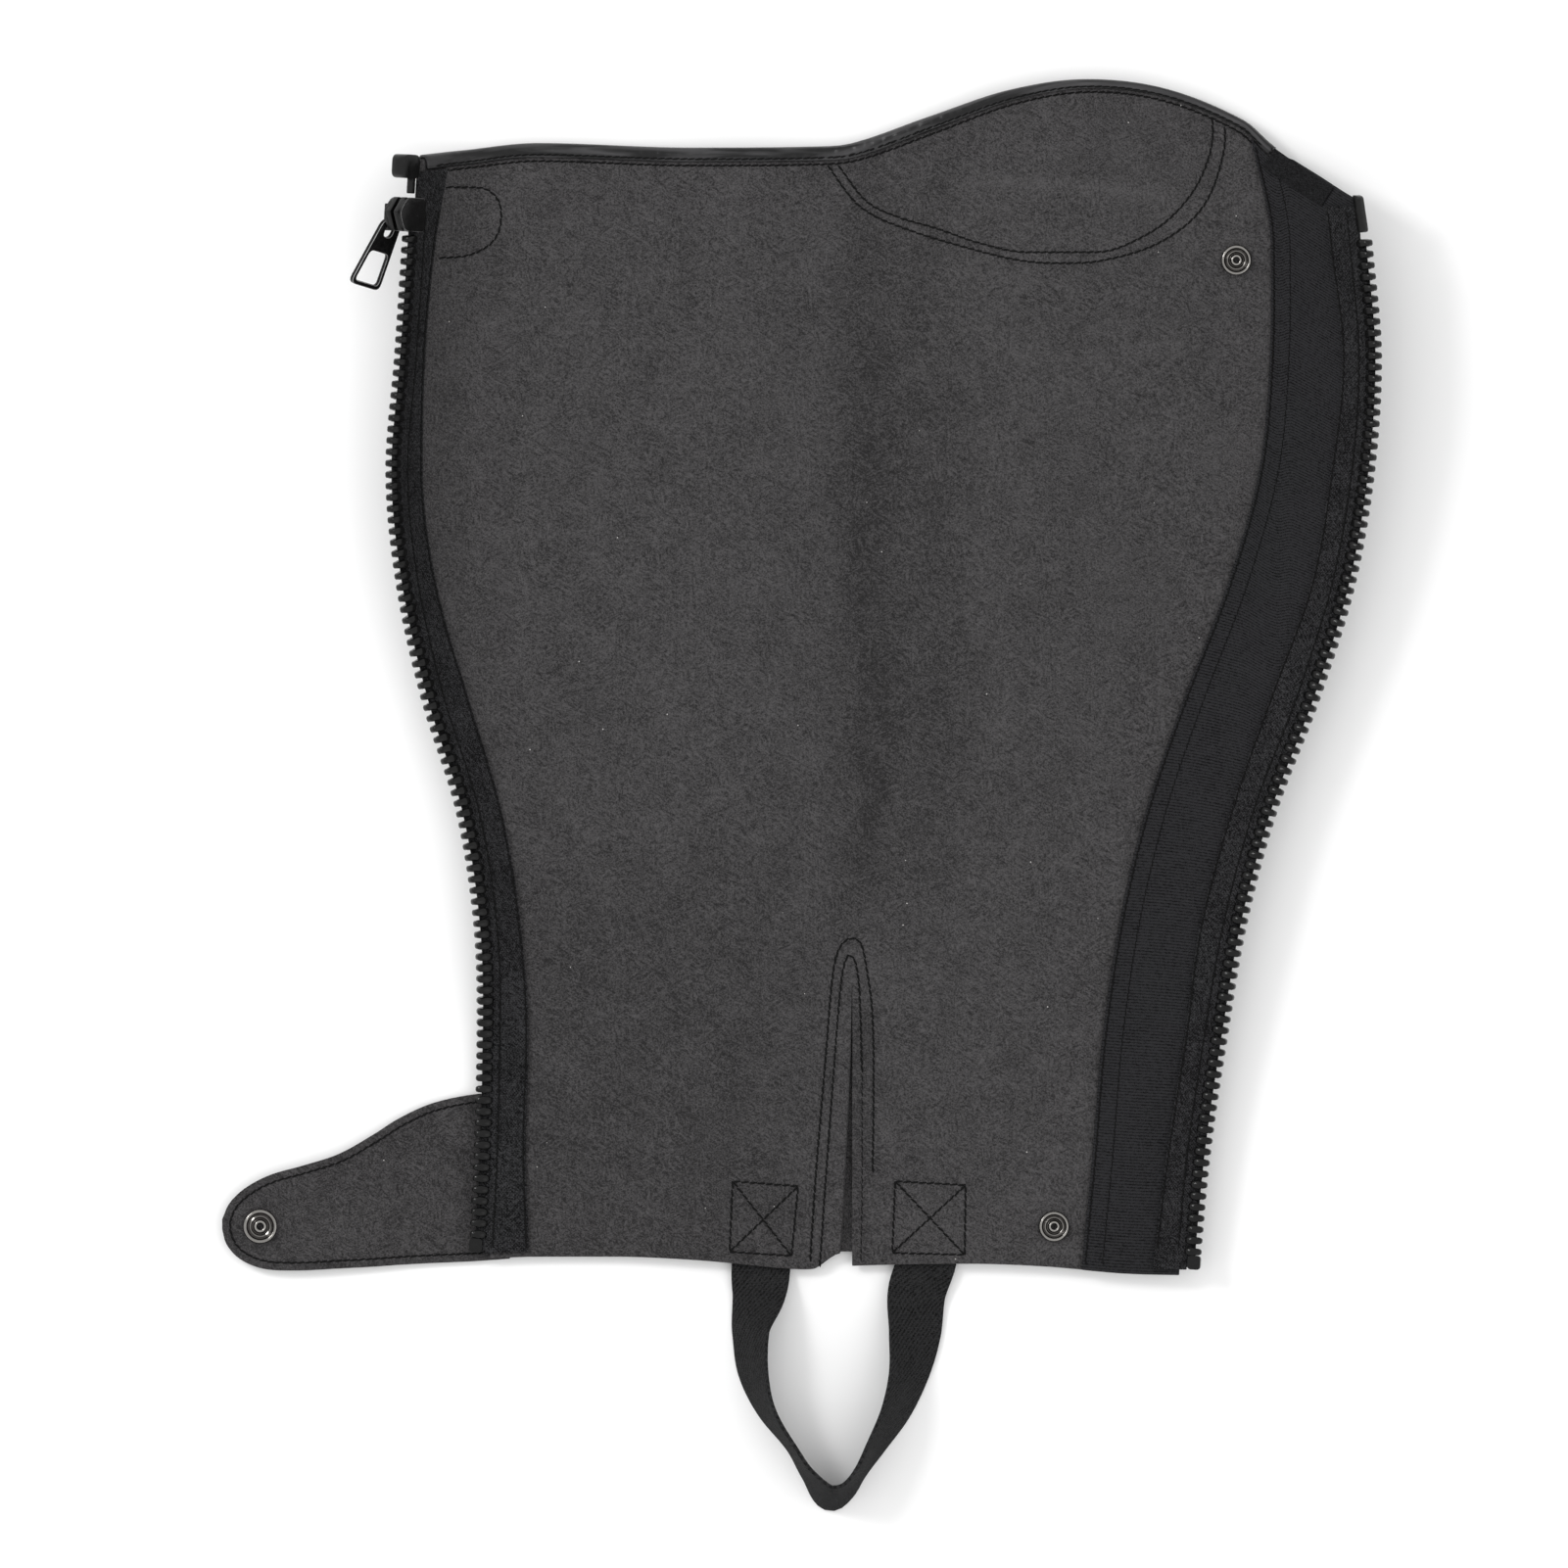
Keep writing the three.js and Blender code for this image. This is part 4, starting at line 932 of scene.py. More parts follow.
left_tape_patch = upright(left_tape_edge, left_tape_seam, TAPE_HEM, lambda x: LEFT_TAPE_DOWN)
right_tape_patch = upright(gusset_edge, right_tape_edge, TAPE_HEM, right_tape_top)
tapes = [
    ("left_zip_tape", "zip_tape_left", left_tape_patch, LEFT_TAPE_TOP, LEFT_TAPE_CUT),
    ("right_zip_tape", "zip_tape_right", right_tape_patch, RIGHT_TAPE_TOP, RIGHT_TAPE_CUT),
]
tape_rows = {
    "left_zip_tape": [(left_tape_seam, -EDGE_ROW), (left_tape_edge, CORD_ROW)],
    "right_zip_tape": [(gusset_edge, EDGE_ROW), (right_tape_edge, -CORD_ROW)],
}
for name, solid, patch, top, cut in tapes:
    tape = finished(name, laid_mesh(patch, 10, 200, top, cut), [tape_cloth], [solid])
    wall(tape, TAPE, edge=0.0002)
    rows = [(along_edge(edge, *TAPE_SEAM, aside), top) for edge, aside in tape_rows[name]]
    stitches = stitched(f"{name}_stitches", rows)

# Zip teeth
# Moulded plastic teeth are cast one by one round the corded edge of each tape: a clamped foot, a
# narrower neck and a rounded head that hooks between the two teeth opposite.
TOOTH_PITCH = 0.004
TOOTH_LENGTH = 0.0022
TOOTH_HALF = 0.0021
TOOTH_ROUND = 0.00034
CORD_RADIUS = 0.0009
SLIDER_AT = 0.8835 * LENGTH
PLATE_LENGTH = 0.012
LEFT_TEETH = (0.018 * LENGTH, SLIDER_AT + 0.3 * PLATE_LENGTH)
RIGHT_TEETH = (0.004 * LENGTH, 0.862 * LENGTH)
# Share of the reach out from the tape, then shares of the tooth's length and height there.
TOOTH_SECTIONS = [
    (-0.32, 0.9, 0.5), (-0.08, 1.1, 0.86), (0.3, 1.36, 1.0), (0.6, 1.1, 0.95), (0.84, 1.0, 0.9),
    (1.0, 0.66, 0.6),
]
CORD_OUT = 0.0009  # the corded edge of the tape, an oval between the teeth
CORD_ACROSS = 0.0015
CORD_TAIL = 0.0046  # how far it runs on into the lower stop
CORD_STEP = 0.0015


def zip_frames(line, y, off):
    """Frames along the zip: x across the tape, y along it, z off its inside face."""
    y = np.asarray(y, float)
    step = 0.001
    ahead = lay(line(y + step), y + step, off)
    behind = lay(line(y - step), y - step, off)
    frames = []
    for origin, run, up in zip(lay(line(y), y, off), ahead - behind, normal_at(line(y), y)):
        along = Vector(run).normalized()
        across = along.cross(Vector(up)).normalized()
        frames.append(frame_at(origin, across, along, across.cross(along)))
    return frames


def zip_frame(line, y, off):
    return zip_frames(line, [y], off)[0]


def zip_step(line, y, off):
    """Plan distance up the object for one metre along the zip."""
    half = 0.0005
    ahead = lay(line(y + half), y + half, off)
    behind = lay(line(y - half), y - half, off)
    return 2 * half / np.linalg.norm(ahead - behind)


def tooth_mesh(out):
    bm = bmesh.new()
    foot = TOOTH_SECTIONS[0]
    bmesh.ops.create_grid(bm, x_segments=1, y_segments=1, size=0.5)
    for vert in bm.verts:
        vert.co = (
            out * foot[0] * TOOTH_REACH,
            vert.co.x * TOOTH_LENGTH * foot[1],
            vert.co.y * 2 * TOOTH_HALF * foot[2],
        )
    face = bm.faces[:][0]
    for reach, long, high in TOOTH_SECTIONS[1:]:
        made = bmesh.ops.extrude_face_region(bm, geom=[face])
        bmesh.ops.delete(bm, geom=[face], context="FACES_ONLY")
        face = next(item for item in made["geom"] if isinstance(item, bmesh.types.BMFace))
        for vert in face.verts:
            vert.co = (
                out * reach * TOOTH_REACH,
                math.copysign(0.5 * TOOTH_LENGTH * long, vert.co.y),
                math.copysign(TOOTH_HALF * high, vert.co.z),
            )
    bmesh.ops.holes_fill(bm, edges=bm.edges, sides=4)
    bmesh.ops.bevel(
        bm,
        geom=[edge for edge in bm.edges if edge.calc_face_angle(0) > 0.6],
        offset=TOOTH_ROUND,
        offset_type="OFFSET",
        segments=1,
        profile=0.5,
        affect="EDGES",
        material=-1,
    )
    bmesh.ops.recalc_face_normals(bm, faces=bm.faces)
    return mesh_of("one_tooth", bm)


def join(bm, part):
    """Add one mesh to another."""
    mesh = mesh_of("part", part)
    bm.from_mesh(mesh)
    bpy.data.meshes.remove(mesh)


# Scuffs: faint handling marks that change the gloss of plastic, enamel and plated metal.
scuffs, scuffs_in, scuffs_out = group_of(
    "scuffs", {"Vector": "Vector", "Size": "Float"}, ("Marks",)
)
smears = noise(scuffs, scuffs_in.outputs[0], scuffs_in.outputs[1], 7, 0.7, 1.2)
scuffs.links.new(ranged(scuffs, smears, -0.7, 1.7), scuffs_out.inputs["Marks"])


def hard_finish(name, colour, marking, gloss, specular=0.22, metallic=0.0, rim=None):
    """Plastic or metal: its colour, the colour of its scuffs, two roughnesses and a painted
    highlight colour for its sharp rims, if given.
    """
    made, tree, shader = finish_of(name, gloss[0], specular, metallic)
    marked = {"Vector": placed(tree), "Size": 260}
    marks = node(tree, "ShaderNodeGroup", marked, node_tree=scuffs).outputs[0]
    tone = between(tree, marks, colour, marking)
    if rim:
        # Lighter colour on sharp convex rims: a painted highlight.
        rims = node(tree, "ShaderNodeNewGeometry").outputs["Pointiness"]
        tone = between(tree, ranged(tree, rims, 0, 0.85, 0.515, 0.6), tone, rim)
    dress(tree, shader, tone, marks, 0.00008, 0.4, ranged(tree, marks, *gloss))
    return made


plastic = hard_finish("moulded_plastic", grey(0.002), grey(0.006), (0.1, 0.28))
tooth_sides = (
    ("left_zip_teeth", "zip_teeth_left", left_teeth, LEFT_TAPE_TOP, LEFT_TEETH),
    ("right_zip_teeth", "zip_teeth_right", right_teeth, RIGHT_TAPE_TOP, RIGHT_TEETH),
)
for name, solid, teeth, top, (start, stop) in tooth_sides:
    out = -1 if teeth is left_teeth else 1
    line = in_from(teeth, TOOTH_REACH)
    off = top - 0.5 * TAPE
    one_tooth = tooth_mesh(out)
    row = bmesh.new()
    places = []
    y = start
    while y < stop:
        scale = zip_step(line, y, off)
        places.append(y + 0.5 * TOOTH_LENGTH * scale)
        y += TOOTH_PITCH * scale
    for place in zip_frames(line, places, off):
        set_in(row, one_tooth, place)
    bpy.data.meshes.remove(one_tooth)
    frames = zip_frames(line, np.arange(start - CORD_TAIL, places[-1], CORD_STEP), off)
    cord, around, along = grid(8, len(frames) - 1)
    for vert, turn, at in zip(cord.verts, 2 * math.pi * around, (len(frames) - 1) * along):
        across = CORD_OUT * out + CORD_ACROSS * math.cos(turn)
        vert.co = frames[round(at)] @ Vector((across, 0, CORD_RADIUS * math.sin(turn)))
    bmesh.ops.remove_doubles(cord, verts=cord.verts, dist=1e-6)
    bmesh.ops.holes_fill(cord, edges=cord.edges, sides=8)
    bmesh.ops.recalc_face_normals(cord, faces=cord.faces)
    for face in cord.faces:
        face.material_index = 1
    join(row, cord)
    finished(name, row, [plastic, tape_cloth], [solid])

# Moulded ends of the zip
# The lowest tooth of each half is a solid stop. At the top the left half ends in a box with a
# fixed pin, and the right half in the loose pin that slips into that box.
STOP_LENGTH = 0.005
STOP_HALF = 0.0019
PIN_LENGTH = 0.0125
PIN_HALF = 0.0015
BOX_HEIGHT = 0.0085
BOX_WIDTH = 0.0105
BOX_HALF = 0.003
BOX_FOOT = 0.914 * LENGTH
PIN_FOOT = 0.905 * LENGTH


def rounded_loop(corners, radius, steps=4):
    """A closed outline whose corners are rounded off, as points in the plane."""
    corners = [Vector(corner) for corner in corners]
    loop = []
    for i, corner in enumerate(corners):
        back = corners[i - 1] - corner
        ahead = corners[(i + 1) % len(corners)] - corner
        start = corner + back.normalized() * min(radius, 0.48 * back.length)
        end = corner + ahead.normalized() * min(radius, 0.48 * ahead.length)
        for step in range(steps + 1):
            t = step / steps
            loop.append(start * (1 - t) ** 2 + corner * 2 * t * (1 - t) + end * t * t)
    return loop


def add_slab(bm, loops, low, high, rim, painted_light_and_wear=False):
    """Add a slab with rounded rims: its outline, and outlines of the windows in it."""
    part = bmesh.new()
    for loop in loops:
        ring = [part.verts.new((*point, low)) for point in loop]
        for a, b in zip(ring, ring[1:] + ring[:1]):
            part.edges.new((a, b))
    bmesh.ops.triangle_fill(part, use_beauty=True, use_dissolve=False, edges=part.edges)
    raised = bmesh.ops.extrude_face_region(part, geom=part.faces[:], use_keep_orig=True)
    tops = [item for item in raised["geom"] if isinstance(item, bmesh.types.BMVert)]
    bmesh.ops.translate(part, verts=tops, vec=(0, 0, high - low))
    bmesh.ops.recalc_face_normals(part, faces=part.faces)
    rims = [
        edge
        for edge in part.edges
        if edge.calc_face_angle(0) > 1.2 and abs(edge.verts[0].co.z - edge.verts[1].co.z) < 1e-7
    ]
    bmesh.ops.bevel(
        part,
        geom=rims,
        offset=rim,
        offset_type="OFFSET",
        segments=3,
        profile=0.5,
        affect="EDGES",
        material=-1,
        clamp_overlap=True,
    )
    part.normal_update()
    # Where asked, the sloping rim faces take the second finish, a painted highlight.
    for face in part.faces:
        face.material_index = int(painted_light_and_wear and 0.35 < abs(face.normal.z) < 0.9)
    join(bm, part)


def box_loop(x0, x1, y0, y1, radius):
    return rounded_loop([(x0, y0), (x1, y0), (x1, y1), (x0, y1)], radius)


def moulded_end(name, solid, bm, place):
    finished(name, bm, [plastic], [solid], place=place)


left_line = in_from(left_teeth, TOOTH_REACH)
right_line = in_from(right_teeth, TOOTH_REACH)
left_off = LEFT_TAPE_TOP - 0.5 * TAPE
right_off = RIGHT_TAPE_TOP - 0.5 * TAPE
pin_from = RIGHT_TEETH[1] + TOOTH_PITCH
zip_stops = [
    ("left_zip_stop", "zip_stop_left", left_line, left_off, LEFT_TEETH[0], (-TOOTH_REACH, 0)),
    ("right_zip_stop", "zip_stop_right", right_line, right_off, RIGHT_TEETH[0], (0, TOOTH_REACH)),
]
for name, solid, line, off, start, sides in zip_stops:
    end = bmesh.new()
    reach = 0.5 * STOP_LENGTH
    add_slab(end, [box_loop(*sides, -reach, reach, 0.0014)], -STOP_HALF, STOP_HALF, 0.0009)
    moulded_end(name, solid, end, zip_frame(line, start - GAP - reach, off))

# The loose pin is a flat blade that narrows towards its free end.
blade = [(0.0002, -0.0014), (0.0028, -0.0012), (0.0018, PIN_LENGTH - 0.001), (-0.0008, PIN_LENGTH)]
loose_pin = bmesh.new()
add_slab(loose_pin, [rounded_loop(blade, 0.0011)], -PIN_HALF, PIN_HALF, 0.0008)
moulded_end("insertion_pin", "zip_pin", loose_pin, zip_frame(right_line, pin_from, right_off))

retainer = bmesh.new()
box_outline = box_loop(-BOX_WIDTH, -0.0018, 0, BOX_HEIGHT, 0.0026)
add_slab(retainer, [box_outline], -BOX_HALF, BOX_HALF, 0.0012)
fixed_pin = box_loop(-0.0036, -0.0018, PIN_FOOT - BOX_FOOT - 0.0015, 0.0008, 0.0006)
add_slab(retainer, [fixed_pin], -0.0012, 0.0012, 0.0005)
moulded_end("retainer_box", "zip_box", retainer, zip_frame(left_line, BOX_FOOT, left_off))

# Slider and pull
# A die-cast slider in black enamel runs on the left half: two shield plates round the teeth, a
# wedge between them, and on the outer one a bail that holds the flat, pierced pull.
PLATE_WIDTH = 0.014
PLATE_THICKNESS = 0.0016
PLATE_LAP = 0.0015
LIP_WIDTH = 0.0012
LIP_LOW = 0.0008
WEDGE_WIDTH = 0.003
SUNK = 0.0002  # how far the wedge and the bail's feet go into the plates
BAIL_TUNNEL = 0.0034
BAIL_BAR = 0.0014
PULL_LENGTH = 0.025
PULL_TOP = 0.0102
PULL_FOOT = 0.0172
PULL_THICKNESS = 0.0016
PULL_BAR = 0.0016
PULL_SWING = math.radians(20)
PULL_YAW = math.radians(8)
EYE_WIDTH = 0.0046
EYE_LENGTH = 0.0048
WINDOW_TOP = 0.0115
plate_low = TOOTH_HALF + GAP
plate_high = plate_low + PLATE_THICKNESS
plate_left = PLATE_LAP - PLATE_WIDTH
half_plate = 0.5 * PLATE_LENGTH
shield = [
    (PLATE_LAP, -half_plate), (PLATE_LAP, half_plate),
    (plate_left + 0.286 * PLATE_WIDTH, half_plate), (plate_left, 0.05 * PLATE_LENGTH),
    (plate_left + 0.214 * PLATE_WIDTH, -half_plate),
]
wedge_right = -TOOTH_REACH - GAP
bail_middle = PLATE_LAP - 0.5 * PLATE_WIDTH
bail_low = -plate_high - BAIL_TUNNEL - BAIL_BAR
bail_from = -half_plate
bail_to = 0.3 * PLATE_LENGTH
# The second finish is a painted highlight for the rounded rims.
enamel = [
    hard_finish("black_enamel", grey(0.003), grey(0.008), (0.14, 0.3)),
    hard_finish("painted_highlight_rims", grey(0.1), grey(0.42), (0.15, 0.35), 0.5),
]
slider = bmesh.new()
for low, high in ((plate_low, plate_high), (-plate_high, -plate_low)):
    add_slab(slider, [rounded_loop(shield, 0.0022)], low, high, 0.0006, painted_light_and_wear=True)
# Rolled lips along both sides of each plate leave only a slot for the tape.
outer_side = shield[2:]
outer_lip = outer_side + [(x + LIP_WIDTH, y) for x, y in reversed(outer_side)]
lip_end = 0.46 * PLATE_LENGTH
lip_sides = (PLATE_LAP - LIP_WIDTH, PLATE_LAP)
for lip in (rounded_loop(outer_lip, 0.0005), box_loop(*lip_sides, -lip_end, lip_end, 0.0005)):
    for low, high in ((LIP_LOW, plate_low + 0.0004), (-plate_low - 0.0004, -LIP_LOW)):
        add_slab(slider, [lip], low, high, 0.0003)
wedge = box_loop(wedge_right - WEDGE_WIDTH, wedge_right, 0, 0.35 * PLATE_LENGTH, 0.0009)
add_slab(slider, [wedge], -plate_low - SUNK, plate_low + SUNK, 0.0001)
# The bail is a bar along the outer plate on two feet.
bail_sides = (bail_middle - 0.5 * BAIL_BAR, bail_middle + 0.5 * BAIL_BAR)
bail_bar = box_loop(*bail_sides, bail_from, bail_to, 0.0004)
add_slab(slider, [bail_bar], bail_low, bail_low + BAIL_BAR, 0.0004)
for foot in (bail_from, bail_to - BAIL_BAR):
    bail_foot = box_loop(*bail_sides, foot, foot + BAIL_BAR, 0.0003)
    add_slab(slider, [bail_foot], bail_low + 0.3 * BAIL_BAR, -plate_low - SUNK, 0.0002)
slider_frame = zip_frame(left_line, SLIDER_AT, left_off)
finished("zip_slider_body", slider, enamel, ["zip_slider"], place=slider_frame)

bar_corner = 0.5 * math.hypot(PULL_BAR, PULL_THICKNESS)
pivot = Vector(
    (bail_middle, bail_from + BAIL_BAR + GAP + bar_corner, -plate_high - 0.5 * BAIL_TUNNEL)
)
window_top = 0.5 * PULL_TOP + 0.5 * (PULL_FOOT - PULL_TOP) * WINDOW_TOP / PULL_LENGTH - PULL_BAR
window_foot = 0.5 * PULL_FOOT - 1.2 * PULL_BAR
pull_outline = [
    (-0.5 * PULL_TOP, 0.5 * PULL_BAR), (-0.5 * PULL_FOOT, -PULL_LENGTH),
    (0.5 * PULL_FOOT, -PULL_LENGTH), (0.5 * PULL_TOP, 0.5 * PULL_BAR),
]
pull_eye = box_loop(
    -0.5 * EYE_WIDTH, 0.5 * EYE_WIDTH, -0.5 * PULL_BAR - EYE_LENGTH, -0.5 * PULL_BAR, 0.0021
)
pull_window = [
    (-window_top, -WINDOW_TOP), (window_top, -WINDOW_TOP),
    (window_foot, -PULL_LENGTH + PULL_BAR), (-window_foot, -PULL_LENGTH + PULL_BAR),
]
pull_loops = [rounded_loop(pull_outline, 0.003), pull_eye, rounded_loop(pull_window, 0.0018)]
pull = bmesh.new()
add_slab(pull, pull_loops, -0.5 * PULL_THICKNESS, 0.5 * PULL_THICKNESS, 0.0004, painted_light_and_wear=True)
pull_place = (
    slider_frame
    @ Matrix.Translation(pivot)
    @ Matrix.Rotation(PULL_SWING, 4, "X")
    @ Matrix.Rotation(-PULL_YAW, 4, "Z")
)
finished(
    "pull_tab", pull, enamel, ["zip_pull"], body="zip_pull", place=pull_place
)

# Ankle flap
# A shaped flap of the panel's own leather and lining, sewn on behind the zip at the hem. It
# wraps over the closed zip, and a row of stitches runs just inside its edge.
FLAP_HEIGHT = 0.064
FLAP_LAP = 0.015
FLAP_TOP = -LAP_GAP
FLAP_CUT = (0.103, 0.064)
FLAP_ROOT = left_teeth(0.0) + FLAP_LAP
# Shares of FLAP_REACH out from the root, and of FLAP_HEIGHT up, from the tip to the root.
FLAP_UPPER = [
    (1.0, 0.22), (0.975, 0.31), (0.92, 0.395), (0.835, 0.467), (0.72, 0.52), (0.595, 0.585),
    (0.468, 0.7), (0.39, 0.78), (0.275, 0.865), (0.135, 0.915), (0.0, 0.93),
]
FLAP_LOWER = [
    (1.0, 0.165), (0.985, 0.08), (0.94, 0.0), (0.86, -0.055), (0.745, -0.066), (0.595, -0.055),
    (0.468, -0.044), (0.39, -0.035), (0.275, -0.025), (0.135, -0.015), (0.0, 0.0),
]
FLAP_SEAM_IN = 2.8  # millimetres in from the edge


def flap_line(shares):
    return [(1000 * (FLAP_ROOT - out * FLAP_REACH), 1000 * up * FLAP_HEIGHT) for out, up in shares]


flap_upper = curve_through(flap_line(FLAP_UPPER))
flap_lower = curve_through(flap_line(FLAP_LOWER))


def flap_patch(u, v):
    sides = []
    for line in (flap_lower, flap_upper):
        share = u * (len(line) - 1)
        marks = np.arange(len(line))
        sides.append([np.interp(share, marks, line[:, 0]), np.interp(share, marks, line[:, 1])])
    return [a + (b - a) * v for a, b in zip(*sides)]


flap_mesh = laid_mesh(flap_patch, 60, 34, FLAP_TOP, FLAP_CUT)
mark_nap_shade_and_wear(flap_mesh, lambda x, y: -LOW_DARK)
flap = finished("snap_flap", flap_mesh, [lining, leather], ["ankle_flap"])
wall(flap, LEATHER, back=1)
edge_line = np.vstack((flap_lower[::-1], flap_upper))
heading = np.gradient(edge_line, axis=0)
heading /= np.linalg.norm(heading, axis=1, keepdims=True) + 1e-12
inset = edge_line + 0.001 * FLAP_SEAM_IN * np.column_stack((heading[:, 1], -heading[:, 0]))
shown = inset[inset[:, 0] < left_teeth(0.0) + 0.012]
flap_stitches = stitched("flap_stitches", [(shown, FLAP_TOP + STAND)])

# Snaps
# Ring snaps in gunmetal plate. The flap carries the socket under a domed cap, and the panel two
# studs, of which the inside shows only the rolled ring of the rivet.
SNAP_RADIUS = 0.0062
SNAP_STEM = 0.0022
SNAP_RING = 0.0015
SNAP_CAP = 0.002
STUD_POST = 0.0032
STUD_RING = 0.0055
# The inside, from the stem out over the rolled ring to the hollow middle: shares of its radius
# and of SNAP_RING up.
RING = [
    (1.0, 0.08), (1.0, 0.3), (0.97, 0.66), (0.92, 0.92), (0.86, 1.0), (0.8, 0.9), (0.76, 0.6),
    (0.72, 0.36), (0.66, 0.3), (0.6, 0.5), (0.56, 0.5), (0.5, 0.16), (0.4, 0.12), (0.36, 0.7),
    (0.32, 0.95), (0.26, 1.0), (0.2, 0.84), (0.17, -0.4), (0.0, -0.5),
]
# The outside, from the middle out and back to the stem: radius in millimetres, then the share of
# the depth of the cap or the post.
CAP = [(0, 1), (2.17, 0.97), (4.34, 0.82), (5.704, 0.52), (6.2, 0.2), (6.2, 0), (2.2, 0)]
STUD = [
    (0, 1), (2.03, 1), (2.668, 0.92), (2.9, 0.75), (2.552, 0.55), (2.03, 0.4), (2.03, 0.25),
    (5.27, 0.2), (5.27, 0), (2.2, 0),
]
FLAP_SNAP = (FLAP_ROOT - 0.868 * FLAP_REACH, 0.181 * FLAP_HEIGHT)
LOWER_STUD = (0.2003 * WIDTH, 0.0275 * LENGTH)
UPPER_STUD = (0.3811 * WIDTH, 0.8463 * LENGTH)
# Its rims take a painted highlight.
gunmetal = hard_finish(
    "gunmetal_plate", (0.02, 0.019, 0.018), (0.07, 0.065, 0.061), (0.08, 0.22),
    specular=0.3, metallic=1.0, rim=(0.62, 0.6, 0.57),
)


def outer_profile(table, low, depth):
    return [(0.001 * radius, low - share * depth) for radius, share in table]


def snap_frame(x, y):
    x, y = np.float64(x), np.float64(y)
    up = Vector(normal_at(x, y))
    across = (Vector((1, 0, 0)) - up * up.x).normalized()
    return frame_at(lay(x, y, 0.0), across, up.cross(across), up)


stud = outer_profile(STUD, -GAP, STUD_POST)
socket = outer_profile(CAP, -LAP_GAP - LEATHER - GAP, SNAP_CAP)
snaps = [
    ("snap_socket", "flap_snap", socket, GAP - LAP_GAP, SNAP_RADIUS, FLAP_SNAP),
    ("lower_stud", "stud_lower", stud, LEATHER + GAP, STUD_RING, LOWER_STUD),
    ("upper_stud", "stud_upper", stud, LEATHER + GAP, STUD_RING, UPPER_STUD),
]
for name, solid, outside, face, ring, place in snaps:
    bm = bmesh.new()
    profile = outside + [(SNAP_STEM, face), (0.9 * ring, face)]
    profile += [(share * ring, face + rise * SNAP_RING) for share, rise in RING]
    line = [bm.verts.new((radius, 0, high)) for radius, high in profile]
    edges = [bm.edges.new(pair) for pair in zip(line, line[1:])]
    turn = {"angle": 2 * math.pi, "steps": 56, "axis": (0, 0, 1), "cent": (0, 0, 0)}
    bmesh.ops.spin(bm, geom=line + edges, use_merge=True, **turn)
    bmesh.ops.remove_doubles(bm, verts=bm.verts, dist=1e-6)
    bmesh.ops.recalc_face_normals(bm, faces=bm.faces)
    finished(name, bm, [gunmetal], [solid], place=snap_frame(*place))

# Foot strap
# A loop of black twill webbing passes under the boot in front of the heel. Its ends lie under
# the hem on both sides of the slit, each held by a sewn box with a cross in it.
STRAP_WIDTH = 0.021
STRAP_THICKNESS = 0.0013
STRAP_DROP = 0.084
STRAP_FREE = 0.3 * STRAP_DROP  # how far below the hem it has left the leather
STRAP_SPREAD = 0.059
STRAP_MIDDLE = -0.002
STRAP_CUT = (0.021, 0.242)
# Shares of STRAP_SPREAD to the side and of STRAP_DROP down, and degrees from flat.
STRAP = [
    (-0.5, -0.33, 0), (-0.51, -0.1, 3), (-0.515, 0.0, 8), (-0.53, 0.145, 37), (-0.58, 0.31, 54),
    (-0.565, 0.48, 62), (-0.485, 0.645, 74), (-0.325, 0.81, 82), (-0.227, 0.92, 78),
    (-0.09, 1.015, 65), (0.0, 0.985, 74), (0.075, 0.915, 79), (0.175, 0.8, 73), (0.3, 0.645, 62),
    (0.38, 0.48, 49), (0.415, 0.31, 30), (0.425, 0.145, 17), (0.49, 0.0, 5), (0.5, -0.1, 2),
    (0.51, -0.33, 0),
]
STRAP_ROWS = 150
STRAP_END = 0.0006
# The corners of the two boxes, in millimetres.
BOX_SEAMS = [
    [(-42.7, 27.7), (-19.3, 25.9), (-21.7, 1.0), (-43.8, 2.5)],
    [(15.4, 27.7), (40.6, 26.3), (40.3, 1.4), (14.4, 2.1)],
]
twill = woven_finish(
    "twill_webbing", 2400, 1700, 4, grey(0.001), (0.03, 0.03, 0.031), 0.0003, clear=1.1
)
sides, downs, turns = np.array(STRAP).T
route = np.column_stack((STRAP_MIDDLE + sides * STRAP_SPREAD, -downs * STRAP_DROP))
strap_run = run_along(route)
strap_table = np.column_stack((strap_run, route, turns))
strap_x, strap_y, strap_turn = [smooth_column(strap_table, i) for i in (1, 2, 3)]


def strap_place(run, across):
    """A place on the webbing: its middle line, and how far across its width."""
    step = 0.0005
    x, y = strap_x(run), strap_y(run)
    heading = Vector(
        (strap_x(run + step) - strap_x(run - step), strap_y(run + step) - strap_y(run - step), 0)
    ).normalized()
    turn = math.radians(max(0, strap_turn(run)))
    inside = Vector((-heading.y, heading.x, 0))
    width = inside * math.cos(turn) + Vector((0, 0, math.sin(turn)))
    stands = 0.5 * STRAP_WIDTH * math.sin(turn) + 0.5 * STRAP_THICKNESS * math.cos(turn) + 0.0004
    sewn_x, sewn_y = x + inside.x * across, y + inside.y * across
    sewn = Vector(lay(np.float64(sewn_x), np.float64(sewn_y), -LAP_GAP - 0.5 * STRAP_THICKNESS))
    loose = Vector((x + SLIT_LINE, y + HEM_LINE, stands)) + width * across
    return sewn.lerp(loose, float(ease(0, STRAP_FREE, -y)))


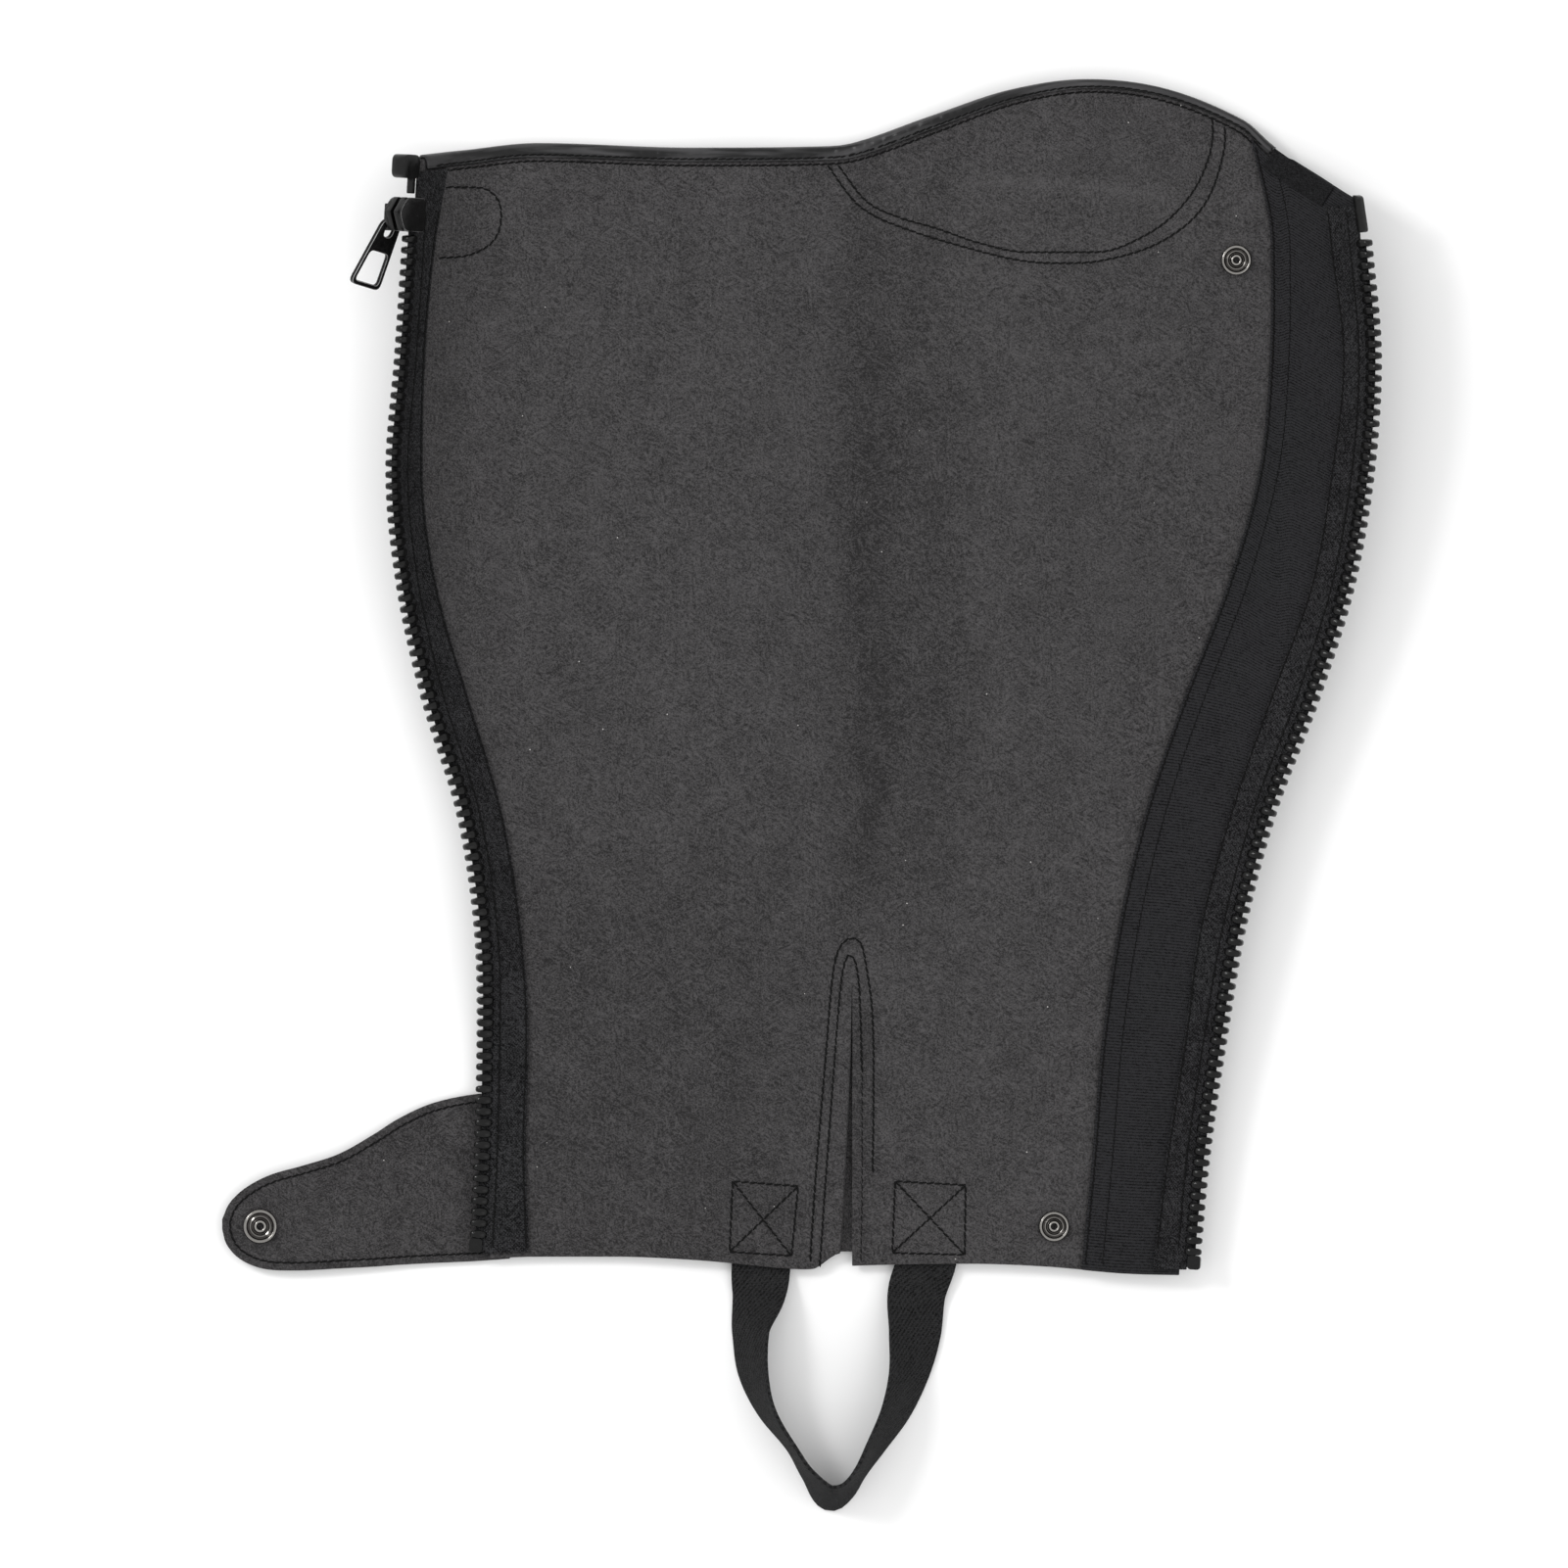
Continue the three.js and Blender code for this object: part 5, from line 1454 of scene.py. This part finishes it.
strap_mesh, across_share, along_share = grid(12, STRAP_ROWS)
across_strap = across_share - 0.5
set_uv(strap_mesh, STRAP_CUT[0] * across_strap, STRAP_CUT[1] * along_share)
runs = np.clip(along_share * strap_run[-1], STRAP_END, strap_run[-1] - STRAP_END)
for vert, run, across in zip(strap_mesh.verts, runs, STRAP_WIDTH * across_strap):
    vert.co = strap_place(run, across)
strap = finished("stirrup_strap", strap_mesh, [twill], ["foot_strap"])
wall(strap, STRAP_THICKNESS, side=0.0, edge=0.00035)
box_rows = []
for corners in BOX_SEAMS:
    a, b, c, d = 0.001 * np.array(corners)
    sides = ((a, b), (b, c), (c, d), (d, a), (a, c), (b, d))
    box_rows += [(np.vstack(ends), lining_top) for ends in sides]
box_stitches = stitched("strap_box_stitches", box_rows)

# Floor, light and camera
# A plain white table in a bright room, under a soft light from the upper left and a weaker one
# from the lower right, seen straight down as in a product photograph.
CAMERA_HEIGHT = 8.0
VIEW_WIDTH = 0.56035
SENSOR = 0.036
VIEW_MIDDLE = (-0.00643, 0.00324)


white_table, _, table_shader = finish_of("white_table", 0.9, 0.1)
table_shader.inputs["Base Color"].default_value = (*grey(0.93), 1)
ground = bmesh.new()
bmesh.ops.create_grid(ground, x_segments=1, y_segments=1, size=4)
floor_mesh = mesh_of("floor", ground)
floor_mesh.materials.append(white_table)
floor = bpy.data.objects.new("floor", floor_mesh)
bpy.context.scene.collection.objects.link(floor)

world = bpy.data.worlds.new("bright_room")
world.use_nodes = True
world.node_tree.nodes["Background"].inputs["Color"].default_value = (1, 1, 1, 1)
world.node_tree.nodes["Background"].inputs["Strength"].default_value = 1.0
bpy.context.scene.world = world


def soft_light(name, place, power, size):
    lamp = bpy.data.lights.new(name, "AREA")
    lamp.energy = power
    lamp.size = size
    light = bpy.data.objects.new(name, lamp)
    light.location = place
    light.rotation_euler = (-Vector(place)).to_track_quat("-Z", "Y").to_euler()
    bpy.context.scene.collection.objects.link(light)


soft_light("key_light", (-1.3, 0.75, 1.4), 14, 0.5)
soft_light("fill_light", (1.2, -0.6, 1.6), 4, 1.4)

camera_data = bpy.data.cameras.new("camera")
camera_data.sensor_width = 1000 * SENSOR
camera_data.lens = 1000 * SENSOR * CAMERA_HEIGHT / VIEW_WIDTH
camera_data.clip_end = 40
camera = bpy.data.objects.new("camera", camera_data)
camera.location = (*VIEW_MIDDLE, CAMERA_HEIGHT)
bpy.context.scene.collection.objects.link(camera)
bpy.context.scene.camera = camera
bpy.context.scene.view_settings.view_transform = "Standard"
